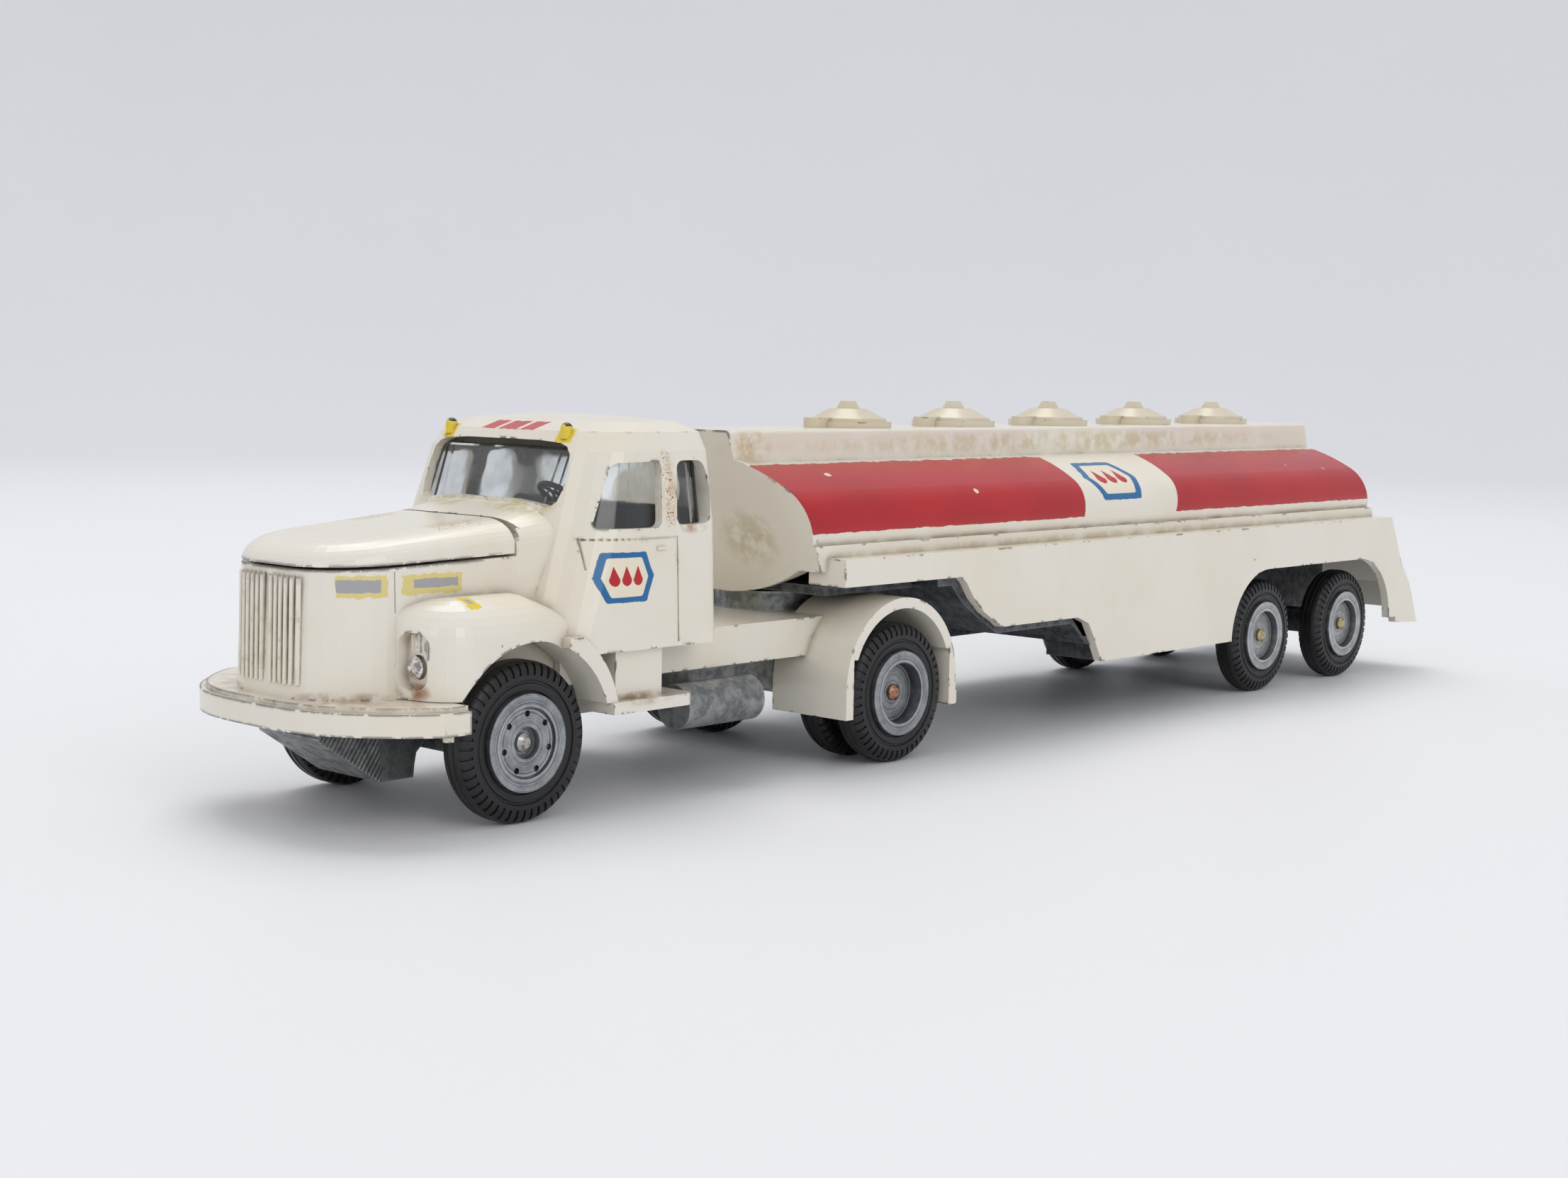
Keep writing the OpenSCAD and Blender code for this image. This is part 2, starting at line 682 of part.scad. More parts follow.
module tractor_base() {
    hw = guard_in - 0.1;
    rear = -wheelbase - 8;
    block = pin_r + 1.4;
    color(zinc) tractor() difference() {
        union() {
            // plate closing the frame from below
            box(rear, 9, -hw, hw, plate_z, bumper_top - 1.6 - 0.05);
            // ribbed skid with a sloping front
            along_y(-6.5, 6.5) polygon([[3.5, 1], [6.8, -2.2], [7.1, -3.7], [7.3, -5.4], [12.6, -5.4],
                [21.8, 0.8], [22, bumper_top - bumper_h], [3.5, bumper_top - bumper_h]]);
            // axle beams
            box(-1.8, 3.6, -beam_inner, beam_inner, -block, 1.2);
            box(-wheelbase - 2.2, -wheelbase + 2.2, -hw, hw, -block, 1.2);
            // side tanks
            both_sides() translate([-44, 17.4, 1.3]) rotate([0, 90, 0]) cylinder(h = 15, r = tank_r);
            both_sides() box(-42, -31, hw - 1, 17.4, 0.7, 2.2);
        }
        for (x = [0, -wheelbase]) translate([x, -30, 0]) rotate([-90, 0, 0]) cylinder(h = 60, r = pin_r);
        for (x = rivets_x) translate([x, 0, plate_z]) rivet_pocket();
    }
}

module base_rivets() {
    color(steel) tractor() for (x = rivets_x) translate([x, 0, plate_z]) rivet();
}

// a spun rivet head, and the pocket it stands in; the face of the plate is at Z = 0
module rivet() translate([0, 0, 0.05]) cylinder(h = rivet_h, r1 = rivet_r - 0.5, r2 = rivet_r);
module rivet_pocket() translate([0, 0, -1]) cylinder(h = rivet_h + 1.05, r = rivet_r + 0.2);

module fifth_wheel_plate() {
    plate_r = 8;
    color(zinc) tractor() difference() {
        translate([kingpin_set - wheelbase, 0, beam_top]) cylinder(h = guard_top - axle_z - beam_top,
            r = plate_r);
        translate([kingpin_set - wheelbase, 0, beam_top - 1]) cylinder(h = 20, r = kingpin_r + pin_play);
    }
}

module axle_pin(half) {
    translate([0, -half, 0]) rotate([-90, 0, 0]) cylinder(h = 2 * half, r = pin_r);
    both_sides() translate([0, half, 0]) rotate([-90, 0, 0]) {
        cylinder(h = 0.35, r = pin_r + 0.35);
        translate([0, 0, 0.35]) cylinder(h = 0.35, r1 = pin_r + 0.35, r2 = pin_r - 0.2);
    }
}

module front_axle_pin() color(steel) tractor() axle_pin(front_pin);
module rear_axle_pin() color(steel) tractor() translate([-wheelbase, 0, 0]) axle_pin(rear_pin);

// ---------- wheels: profiles turned about Y, outer face towards +Y ----------

module turned() rotate([-90, 0, 0]) rotate_extrude($fn = 72) children();

module tyre_solid(y) {
    r = 1;
    hw = tyre_w / 2;
    translate([0, y, 0]) turned() {
        translate([seat_r, -seat_hw]) square([tyre_r - seat_r - r, 2 * seat_hw]);
        translate([rim_r + 0.3, -hw]) square([tyre_r - r - rim_r - 0.3, tyre_w]);
        translate([tyre_r - r - e, r - hw]) square([r + e, tyre_w - 2 * r]);
        for (s = [-1, 1]) translate([tyre_r - r, s * (hw - r)]) circle(r);
    }
}

// y: middle of the outer tyre; dish: how far the disc lies inside the rim;
// well: how far the boss lies inside the disc; in_y: the barrel's inner end
module hub_solid(y, dish, well, in_y) {
    barrel_t = 0.9;
    bore = pin_r + pin_play;
    rim_face = y + seat_hw + rim_t;
    turned() {
        translate([seat_r - barrel_t, in_y]) square([barrel_t, y + seat_hw - in_y]);
        translate([seat_r - barrel_t, y + seat_hw]) square([rim_r - seat_r + barrel_t, rim_t]);
        translate([bore, rim_face - dish - disc_t]) square([seat_r - bore - barrel_t / 2, disc_t - well]);
        translate([well_r, rim_face - dish - disc_t]) square([seat_r - well_r - barrel_t / 2, disc_t]);
        translate([bore, in_y]) square([1.5, rim_face - dish - well - in_y]);
    }
}

module stud_pits(y, dish) {
    for (i = [0 : studs - 1]) rotate([0, 360 / studs * i + 12, 0])
        translate([stud_ring, y + seat_hw + rim_t - dish - 0.5, 0]) rotate([-90, 0, 0])
            cylinder(h = 2, r = 0.42, $fn = 20);
}

module front_hub() {
    difference() {
        hub_solid(front_track, front_dish, front_well, front_track - seat_hw);
        stud_pits(front_track, front_dish);
    }
}
module front_tyre() tyre_solid(front_track);
module rear_hub() hub_solid(rear_track, rear_dish, 0, rear_track - twin_pitch - seat_hw);
module rear_outer_tyre() tyre_solid(rear_track);
module rear_inner_tyre() tyre_solid(rear_track - twin_pitch);
module trailer_hub() hub_solid(trailer_track, trailer_dish, 0, trailer_track - seat_hw);
module trailer_tyre() tyre_solid(trailer_track);

module left() children();
module right() mirror([0, 1, 0]) children();

module front_left_hub() color(zinc) tractor() left() front_hub();
module front_left_tyre() color(black) tractor() left() front_tyre();
module front_right_hub() color(zinc) tractor() right() front_hub();
module front_right_tyre() color(black) tractor() right() front_tyre();

module at_rear_axle() tractor() translate([-wheelbase, 0, 0]) children();
module rear_left_hub() color(zinc) at_rear_axle() left() rear_hub();
module rear_left_outer_tyre() color(black) at_rear_axle() left() rear_outer_tyre();
module rear_left_inner_tyre() color(black) at_rear_axle() left() rear_inner_tyre();
module rear_right_hub() color(zinc) at_rear_axle() right() rear_hub();
module rear_right_outer_tyre() color(black) at_rear_axle() right() rear_outer_tyre();
module rear_right_inner_tyre() color(black) at_rear_axle() right() rear_inner_tyre();

module at_bogie(n) translate([bogie_x - n * bogie_pitch, 0, axle_z]) children();
module trailer_front_axle_pin() color(steel) at_bogie(0) axle_pin(trailer_pin);
module trailer_rear_axle_pin() color(steel) at_bogie(1) axle_pin(trailer_pin);
module trailer_front_left_hub() color(zinc) at_bogie(0) left() trailer_hub();
module trailer_front_left_tyre() color(black) at_bogie(0) left() trailer_tyre();
module trailer_front_right_hub() color(zinc) at_bogie(0) right() trailer_hub();
module trailer_front_right_tyre() color(black) at_bogie(0) right() trailer_tyre();
module trailer_rear_left_hub() color(zinc) at_bogie(1) left() trailer_hub();
module trailer_rear_left_tyre() color(black) at_bogie(1) left() trailer_tyre();
module trailer_rear_right_hub() color(zinc) at_bogie(1) right() trailer_hub();
module trailer_rear_right_tyre() color(black) at_bogie(1) right() trailer_tyre();

// ---------- trailer ----------

// four-arc oval of the tank's cross-section, in (y, z)
module oval(in) {
    a = tank_hw - in;
    b = tank_hh - in;
    r = side_r - in;
    big = (a * a - 2 * a * r + b * b) / (2 * (b - r));
    touch = (a - r) * big / (big - r);
    translate([0, tank_axis]) {
        intersection() {
            translate([0, b - big]) circle(big, $fn = 120);
            translate([0, big - b]) circle(big, $fn = 120);
            square([2 * touch, 4 * b], center = true);
        }
        for (s = [-1, 1]) translate([s * (a - r), 0]) circle(r);
    }
}

// all of the space between the leaning front and rear planes, drawn in at each end
module leaning(front_in, rear_in) {
    low = -30;
    high = 60;
    along_y(-60, 60) polygon([[tank_nose + lean * low - front_in, low],
        [tank_nose + lean * high - front_in, high],
        [tank_tail + lean * high + rear_in, high], [tank_tail + lean * low + rear_in, low]]);
}

// side view of a skirt: a swan neck, lockers, the bogie bay and the sloping tail
module skirt_profile() {
    foot = axle_rel - 1.4;
    difference() {
        polygon([[tank_nose, skirt_low], [tank_nose, skirt_top], [tail_tip + 12.8, skirt_top],
            [tail_tip + 8.2, -3], [tail_tip + 4, -8], [tail_tip, foot], [tail_tip + 9.4, foot + 0.6],
                [tail_tip + 9.5, locker_z],
            [locker_x - 2.4, locker_z], [locker_x, swan_z - 3.6], [locker_x + 1.6, swan_z - 1.2],
                [locker_x + 4.8, swan_z],
            [swan_x1, swan_z], [swan_x1 + 4.6, swan_z + 2.6], [swan_x1 + 7.4, -1.6], [swan_x1 + 9.3, 0.9],
            [swan_x0, skirt_low]]);
        bay_profile(0);
    }
}

// the wheel bay over both axles
module bay_profile(in) {
    r = bay_r - in;
    front = bay_flare - trailer_wheelbase;
    rear = -trailer_wheelbase - bogie_pitch - bay_flare + 0.5;
    for (x = [front, rear]) translate([x, axle_rel + 0.2]) circle(r, $fn = 96);
    translate([rear, axle_rel + 0.2]) square([front - rear, r]);
    translate([rear - r, axle_rel - 10]) square([front - rear + 2 * r, 10.2]);
}

module tank_shell() {
    color(cream) trailer() {
        difference() {
            union() {
                intersection() {
                    along_x(-200, 40) oval(0);
                    leaning(0, 0);
                }
                // walkway box
                intersection() {
                    along_x(-200, 40) walkway_section();
                    leaning(0, 0);
                }
                // thin edge round the front bulkhead
                difference() {
                    intersection() {
                        along_x(-10, 40) oval(-0.4);
                        leaning(0, 0);
                    }
                    leaning(1, -50);
                }
                // ledge and the returned front edge of the skirts
                box(tail_tip + 12.9, tank_nose, -skirt_hw, skirt_hw, skirt_top - 1.5, skirt_top);
                intersection() {
                    box(tail_tip + 12.9, tank_nose + 3, -20.8, 20.8, skirt_top - 2, skirt_top + 1.8);
                    leaning(0, 0);
                }
                both_sides() box(tank_nose - skirt_t, tank_nose, tank_hw - 3, skirt_hw - skirt_t + e,
                    skirt_low, skirt_top);
                both_sides() along_y(skirt_hw - skirt_t, skirt_hw) skirt_profile();
                tail_panel();
            }
            // hollow tank, open below
            intersection() {
                along_x(-200, 40) oval(wall + 0.2);
                leaning(wall + 0.4, wall + 0.4);
            }
            box(tank_tail + lean * tank_axis + 2.2, tank_nose - 3, 4 - tank_hw, tank_hw - 4, -2, tank_axis);
            // room for the deck of the base
            box(tank_tail + 3, tank_nose - 2.6, 2 - tank_hw, tank_hw - 2, -3, base_t + 0.1);
        }
    }
}

module walkway_section() {
    translate([-walk_hw, tank_axis]) square([2 * walk_hw, walk_z - tank_axis - 0.6]);
    translate([0.6 - walk_hw, tank_axis]) square([2 * walk_hw - 1.2, walk_z - tank_axis]);
    for (s = [-1, 1]) translate([s * (walk_hw - 0.6), walk_z - 0.6]) circle(0.6, $fn = 24);
}

// sloping rear panel between the skirts
module tail_panel() {
    foot = axle_rel - 1.4;
    along_y(-skirt_hw + skirt_t - e, skirt_hw - skirt_t + e) polygon([[tail_tip + 12.8, skirt_top],
        [tail_tip + 8.2, -3],
        [tail_tip + 4, -8], [tail_tip + 1.6, foot + 3], [tail_tip + 3.4, foot + 3], [tail_tip + 5.6, -8],
        [tail_tip + 9.8, -3], [tail_tip + 14.4, skirt_top]]);
}

module hatch_domes() {
    color([0.83, 0.79, 0.7]) trailer() for (i = [0 : hatches - 1])
        translate([hatch_first - i * hatch_pitch, 0, walk_z]) {
            cylinder(h = 1, r = hatch_r);
            translate([0, 0, 1]) cylinder(h = 0.5, r1 = hatch_r - 0.7, r2 = hatch_r - 0.9);
            translate([0, 0, 1.5]) cylinder(h = 1.5, r1 = hatch_r - 1.2, r2 = 3);
            translate([0, 0, 3]) cylinder(h = 1.2, r1 = 1.9, r2 = 1.2);
            translate([hatch_r + 1.2, 0, 0]) cylinder(h = 1.6, r = 1.6, $fn = 24);
            translate([hatch_r - 2, -1.6, 0]) cube([3.2, 3.2, 1.6]);
        }
}

module trailer_base() {
    t = base_t;
    low = mid_z;
    end = tail_tip + 10;
    block = pin_r + 1.3;
    color(dark) trailer() difference() {
        union() {
            // deck, swan neck and floor as one bent plate
            along_y(-base_hw, base_hw) polygon([[swan_x0 + 4, skirt_low - t], [swan_x0 + 0.6, skirt_low - t],
                [swan_x1 + 8.2, -2.6], [swan_x1 + 4, swan_z + 1.4], [swan_x1 - 0.6, swan_z - 1.2],
                [locker_x + 4.4, swan_z - 1.2], [locker_x, low], [bay_front, low], [bay_front, low + t],
                [locker_x + 1, low + t], [locker_x + 5, swan_z + t - 1], [swan_x1 - 1, swan_z + t - 1],
                [swan_x1 + 2.6, swan_z + 3.6], [swan_x1 + 6.4, -0.6], [swan_x0 - 1.6, skirt_low],
                    [swan_x0 + 4, skirt_low]]);
            box(swan_x0 + 3, tank_nose - 2.8, -tank_hw + 2.4, tank_hw - 2.4, 0, t);
            box(swan_x0 - 1, swan_x0 + 4.5, -tank_hw + 2.4, tank_hw - 2.4, 0, skirt_low);
            // side lockers
            both_sides() box(bay_front - 2.6, locker_x - 2.6, 13, base_hw, locker_z, low + t);
            // roof of the wheel bay and the rear frame that carries the axles
            box(-trailer_wheelbase - bogie_pitch - bay_r - bay_flare, bay_front + e, -base_hw, base_hw,
                axle_rel + bay_r + 0.5,
                axle_rel + bay_r + 0.5 + t);
            box(bay_front, bay_front + t, -base_hw, base_hw, low, axle_rel + bay_r + 1);
            box(end + 2, bay_front + e, -9, 9, axle_rel - 1, axle_rel + bay_r + 1);
            for (x = [-trailer_wheelbase, -trailer_wheelbase - bogie_pitch])
                box(x - 2.4, x + 2.4, -trailer_track + tyre_w / 2 + 1, trailer_track - tyre_w / 2 - 1,
                    axle_rel - block, axle_rel + block);
        }
        for (x = [-trailer_wheelbase, -trailer_wheelbase - bogie_pitch])
            translate([x, -30, axle_rel]) rotate([-90, 0, 0]) cylinder(h = 60, r = pin_r);
        translate([0, 0, -1]) cylinder(h = 10, r = kingpin_r);
        for (place = rivet_places) translate(place) rivet_pocket();
    }
}

module trailer_rivets() color(steel) trailer() for (place = rivet_places) translate(place) rivet();

module kingpin() {
    below = beam_top - deck_t - deck_z + axle_z - 0.3;
    color(steel) trailer() {
        translate([0, 0, below]) cylinder(h = base_t + 0.4 - below, r = kingpin_r);
        translate([0, 0, below - 0.9]) cylinder(h = 0.9, r = kingpin_r + 1);
        translate([0, 0, base_t]) cylinder(h = 0.9, r = kingpin_r + 1);
    }
}

cab_shell();
bonnet_lid();
bonnet_hinge_pin();
cab_glazing();
seat_unit();
dashboard();
steering_column();
steering_wheel();
engine_block();
cooling_fan();
left_headlamp();
right_headlamp();
chassis_frame();
tractor_base();
base_rivets();
fifth_wheel_plate();
front_axle_pin();
rear_axle_pin();
front_left_hub();
front_left_tyre();
front_right_hub();
front_right_tyre();
rear_left_hub();
rear_left_outer_tyre();
rear_left_inner_tyre();
rear_right_hub();
rear_right_outer_tyre();
rear_right_inner_tyre();
tank_shell();
hatch_domes();
trailer_base();
trailer_rivets();
kingpin();
trailer_front_axle_pin();
trailer_rear_axle_pin();
trailer_front_left_hub();
trailer_front_left_tyre();
trailer_front_right_hub();
trailer_front_right_tyre();
trailer_rear_left_hub();
trailer_rear_left_tyre();
trailer_rear_right_hub();
trailer_rear_right_tyre();
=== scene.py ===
"""Looks of a die-cast toy articulated tanker lorry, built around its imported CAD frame.

Sizes in the classes below are millimetres; meshes are made in metres.
+X points forward, +Y to the lorry's left and +Z up, with the tyres on Z = 0.
"""

import logging
import math
from dataclasses import dataclass
from enum import Enum
from functools import cached_property

import bmesh
import bpy
from mathutils import Matrix, Vector


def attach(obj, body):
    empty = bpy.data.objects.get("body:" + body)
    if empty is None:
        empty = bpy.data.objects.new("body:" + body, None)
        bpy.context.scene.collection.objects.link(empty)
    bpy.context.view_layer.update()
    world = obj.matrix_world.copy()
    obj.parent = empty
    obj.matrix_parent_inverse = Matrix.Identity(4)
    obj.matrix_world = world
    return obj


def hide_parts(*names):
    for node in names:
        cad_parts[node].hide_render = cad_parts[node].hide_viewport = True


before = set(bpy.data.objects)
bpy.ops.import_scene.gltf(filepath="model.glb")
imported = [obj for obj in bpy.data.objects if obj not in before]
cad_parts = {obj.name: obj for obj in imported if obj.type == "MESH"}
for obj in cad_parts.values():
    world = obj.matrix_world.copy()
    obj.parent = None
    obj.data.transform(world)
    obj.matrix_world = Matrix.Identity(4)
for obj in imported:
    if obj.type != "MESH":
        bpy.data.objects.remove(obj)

MM = 0.001
MERGE_DISTANCE = 1e-7
EDGE_RADIUS = 0.8
CORNER_REACH = 2.2
log = logging.getLogger("tanker")

Socket = bpy.types.NodeSocket
Colour = tuple[float, float, float]
Point = tuple[float, float, float]
Value = float | tuple | Socket


def srgb(red: int, green: int, blue: int) -> Colour:
    """Turns an 8-bit display colour into a linear one.

    Args:
        red: Red, 0 to 255.
        green: Green, 0 to 255.
        blue: Blue, 0 to 255.

    Returns:
        The linear colour.
    """
    parts = (value / 255 for value in (red, green, blue))
    return tuple(c / 12.92 if c < 0.04 else ((c + 0.055) / 1.055) ** 2.4 for c in parts)


def scaled(colour: Colour, share: float, lift: float = 0.0) -> Colour:
    """Darkens or lightens a colour, at most to 1.

    Args:
        colour: The colour.
        share: What each part is multiplied by.
        lift: What is added to each part.

    Returns:
        The new colour.
    """
    return tuple(min(1.0, share * part + lift) for part in colour)


class Axle(Enum):
    """Where each axle lies: its x and its height."""

    FRONT = (104.3, 10.5)
    DRIVE = (34.3, 10.5)
    BOGIE_FRONT = (-74.7, 10.5)
    BOGIE_REAR = (-105.3, 10.5)

    @property
    def centre(self) -> Point:
        """The axle's middle on the lorry's centreline."""
        return (self.value[0], 0.0, self.value[1])


class Side(Enum):
    """Left or right of the lorry, as the sign of y."""

    LEFT = 1
    RIGHT = -1


# ---------- shader building ----------


class Graph:
    """Short calls that add and link the nodes of one shader tree."""

    def __init__(self, tree: bpy.types.NodeTree) -> None:
        """Keeps the tree that the nodes are added to."""
        self.tree = tree

    def node(self, kind: str, **settings: object) -> bpy.types.Node:
        """Adds a node.

        Args:
            kind: The node's type, without its ShaderNode prefix.
            **settings: Properties set on the node.

        Returns:
            The new node.
        """
        made = self.tree.nodes.new("ShaderNode" + kind)
        for name, value in settings.items():
            setattr(made, name, value)
        return made

    def feed(self, socket: Socket, value: Value) -> None:
        """Links a socket to an input, or sets the input's own value.

        Args:
            socket: The input.
            value: A socket, a number or a colour.
        """
        if isinstance(value, bpy.types.NodeSocket):
            self.tree.links.new(value, socket)
        elif socket.type == "RGBA":
            socket.default_value = (*value, 1.0)
        else:
            socket.default_value = value

    def math(self, operation: str, *values: Value, clamp: bool = False) -> Socket:
        """Adds a Math node.

        Args:
            operation: The node's operation.
            *values: Its inputs in order.
            clamp: Whether the result is kept from 0 to 1.

        Returns:
            The result.
        """
        made = self.node("Math", operation=operation, use_clamp=clamp)
        for socket, value in zip(made.inputs, values):
            self.feed(socket, value)
        return made.outputs[0]

    def product(self, *values: Value) -> Socket:
        """Multiplies any number of values together."""
        result = values[0]
        for value in values[1:]:
            result = self.math("MULTIPLY", result, value)
        return result

    def line(self, value: Value, slope: Value, start: Value) -> Socket:
        """Multiplies a value by a slope and adds a start."""
        return self.math("MULTIPLY_ADD", value, slope, start)

    def highest(self, *values: Value) -> Socket:
        """Takes the largest of any number of values."""
        result = values[0]
        for value in values[1:]:
            result = self.math("MAXIMUM", result, value)
        return result

    def step(self, value: Value, low: Value, high: Value) -> Socket:
        """Rises smoothly from 0 to 1 between two limits, or falls where low is above high.

        Args:
            value: What is tested.
            low: Where the result is 0.
            high: Where the result is 1.

        Returns:
            The result, 0 to 1.
        """
        made = self.node("MapRange", interpolation_type="SMOOTHSTEP")
        for socket, given in zip(made.inputs, (value, low, high, 0.0, 1.0)):
            self.feed(socket, given)
        return made.outputs[0]

    def between(self, value: Value, low: float, high: float, soft: float) -> Socket:
        """Marks where a value lies between two limits.

        Args:
            value: What is tested.
            low: The lower limit.
            high: The upper limit.
            soft: How wide each edge is.

        Returns:
            The mask, 0 to 1.
        """
        rise = self.step(value, low - soft / 2, low + soft / 2)
        return self.product(rise, self.step(value, high + soft / 2, high - soft / 2))

    def mix(self, share: Value, under: Value, over: Value) -> Socket:
        """Lays one colour over another.

        Args:
            share: How much of the upper colour shows.
            under: The lower colour.
            over: The upper colour.

        Returns:
            The mixed colour.
        """
        made = self.node("Mix", data_type="RGBA")
        for index, value in ((0, share), (6, under), (7, over)):
            self.feed(made.inputs[index], value)
        return made.outputs[2]

    def noise(
        self, place: Socket, scale: float, detail: float = 2.0, rough: float = 0.5
    ) -> Socket:
        """Adds a noise texture.

        Args:
            place: The position that it is read at.
            scale: Features per millimetre.
            detail: How many finer layers it has.
            rough: The strength of the finer layers.

        Returns:
            The noise, about 0.3 to 0.7.
        """
        made = self.node("TexNoise")
        self.feed(made.inputs["Vector"], place)
        for name, value in (("Scale", scale), ("Detail", detail), ("Roughness", rough)):
            self.feed(made.inputs[name], value)
        return made.outputs["Fac"]

    def bump(self, height: Socket, depth: float, under: Socket | None = None) -> Socket:
        """Turns a height into a normal.

        Args:
            height: The height, 0 to 1.
            depth: What a height of 1 stands for, in millimetres.
            under: A normal that this one is laid on.

        Returns:
            The normal.
        """
        made = self.node("Bump")
        made.inputs["Distance"].default_value = depth * MM
        self.feed(made.inputs["Height"], height)
        if under is not None:
            self.feed(made.inputs["Normal"], under)
        return made.outputs["Normal"]

    def split(self, vector: Socket) -> tuple[Socket, Socket, Socket]:
        """Splits a vector into its three parts."""
        made = self.node("SeparateXYZ")
        self.feed(made.inputs[0], vector)
        return tuple(made.outputs)

    def place(self, group: bpy.types.NodeTree, **values: Value) -> dict[str, Socket]:
        """Places a node group.

        Args:
            group: The group.
            **values: Its inputs by name.

        Returns:
            Its outputs by name.
        """
        made = self.node("Group", node_tree=group)
        for name, value in values.items():
            self.feed(made.inputs[name], value)
        return {socket.name: socket for socket in made.outputs}


class Effects:
    """The shader node groups that more than one finish uses, each built once."""

    def __init__(self) -> None:
        """Builds every group."""
        self.edges = self.build_edges()
        self.chips = self.build_chips()
        self.grime_and_shade = self.build_grime_and_shade()
        self.casting = self.build_casting()
        self.turning = self.build_turning()

    @staticmethod
    def open_group(
        name: str, inputs: dict[str, str], outputs: list[str]
    ) -> tuple[Graph, dict, bpy.types.Node]:
        """Starts a node group.

        Args:
            name: The group's name.
            inputs: Its inputs' names, each with Float or Vector.
            outputs: Its outputs' names, all numbers.

        Returns:
            The graph to build in, the inputs' sockets by name, and the output node.
        """
        tree = bpy.data.node_groups.new(name, "ShaderNodeTree")
        for label, kind in inputs.items():
            tree.interface.new_socket(name=label, in_out="INPUT", socket_type="NodeSocket" + kind)
        for label in outputs:
            tree.interface.new_socket(name=label, in_out="OUTPUT", socket_type="NodeSocketFloat")
        source = tree.nodes.new("NodeGroupInput")
        sink = tree.nodes.new("NodeGroupOutput")
        return Graph(tree), {s.name: s for s in source.outputs if s.name}, sink

    def build_edges(self) -> bpy.types.NodeTree:
        """Finds a casting's outer edges and its inner corners."""
        graph, _, sink = self.open_group("edge_finder", {}, ["Edge", "Crevice"])
        rounded = graph.node("Bevel", samples=6)
        rounded.inputs["Radius"].default_value = EDGE_RADIUS * MM
        flat = graph.node("NewGeometry")
        turn = graph.node("VectorMath", operation="DOT_PRODUCT")
        graph.feed(turn.inputs[0], rounded.outputs["Normal"])
        graph.feed(turn.inputs[1], flat.outputs["Normal"])
        bend = graph.math("SUBTRACT", 1.0, turn.outputs["Value"])
        shade = graph.node("AmbientOcclusion", samples=6, only_local=True)
        shade.inputs["Distance"].default_value = CORNER_REACH * MM
        inner = graph.step(shade.outputs["AO"], 0.86, 0.35)
        exposed = graph.step(shade.outputs["AO"], 0.55, 0.85)
        outer = graph.product(graph.step(bend, 0.008, 0.13), exposed)
        graph.feed(sink.inputs["Edge"], outer)
        graph.feed(sink.inputs["Crevice"], inner)
        return graph.tree

    def build_chips(self) -> bpy.types.NodeTree:
        """Breaks paint away along edges, and in small flecks elsewhere."""
        inputs = {"Place": "Vector", "Edge": "Float", "Amount": "Float", "Flecks": "Float"}
        graph, given, sink = self.open_group("paint_chips", inputs, ["Mask"])
        broken = graph.noise(given["Place"], 0.4, 5.0, 0.66)
        hold = graph.line(given["Amount"], -0.22, -0.11)
        limit = graph.line(given["Edge"], hold, 0.75)
        along = graph.step(broken, limit, graph.math("ADD", limit, 0.012))
        cells = graph.node("TexVoronoi")
        graph.feed(cells.inputs["Vector"], given["Place"])
        cells.inputs["Scale"].default_value = 0.3
        chosen = graph.split(cells.outputs["Color"])
        size = graph.line(chosen[1], 0.1, 0.02)
        ragged = graph.line(graph.noise(given["Place"], 1.6, 3.0), -0.16, 0.08)
        away = graph.math("ADD", cells.outputs["Distance"], ragged)
        spot = graph.step(away, size, graph.math("MULTIPLY", size, 0.85))
        kept = graph.math("LESS_THAN", chosen[0], given["Flecks"])
        graph.feed(sink.inputs["Mask"], graph.highest(along, graph.product(spot, kept)))
        return graph.tree

    def build_grime_and_shade(self) -> bpy.types.NodeTree:
        """Gathers a patchy brown tint in inner corners found by ambient occlusion: partly real
        soiling, partly painted shade.
        """
        inputs = {"Place": "Vector", "Crevice": "Float", "Amount": "Float"}
        graph, given, sink = self.open_group("corner_grime_and_shade", inputs, ["Mask"])
        patchy = graph.noise(given["Place"], 0.22, 4.0, 0.6)
        dense = graph.math("MULTIPLY_ADD", patchy, 2.4, -0.55, clamp=True)
        held = graph.product(dense, given["Crevice"])
        mask = graph.math("MULTIPLY", held, given["Amount"], clamp=True)
        graph.feed(sink.inputs["Mask"], mask)
        return graph.tree

    def build_casting(self) -> bpy.types.NodeTree:
        """Gives a casting's skin: a fine height and a slow change of tone."""
        graph, given, sink = self.open_group("cast_skin", {"Place": "Vector"}, ["Height", "Tone"])
        fine = graph.noise(given["Place"], 2.6, 3.0, 0.6)
        broad = graph.noise(given["Place"], 0.32, 2.0)
        graph.feed(sink.inputs["Height"], graph.line(fine, 0.35, broad))
        graph.feed(sink.inputs["Tone"], graph.noise(given["Place"], 0.05, 5.0, 0.6))
        return graph.tree

    def build_turning(self) -> bpy.types.NodeTree:
        """Gives the rings that a lathe leaves round the Y axis of a centred place."""
        graph, given, sink = self.open_group("turned_rings", {"Place": "Vector"}, ["Height"])
        x, _, z = graph.split(given["Place"])
        square = graph.math("ADD", graph.product(x, x), graph.product(z, z))
        rings = graph.node("TexNoise", noise_dimensions="1D")
        graph.feed(rings.inputs["W"], graph.math("SQRT", square))
        rings.inputs["Scale"].default_value = 3.2
        rings.inputs["Detail"].default_value = 3.0
        graph.feed(sink.inputs["Height"], rings.outputs["Fac"])
        return graph.tree


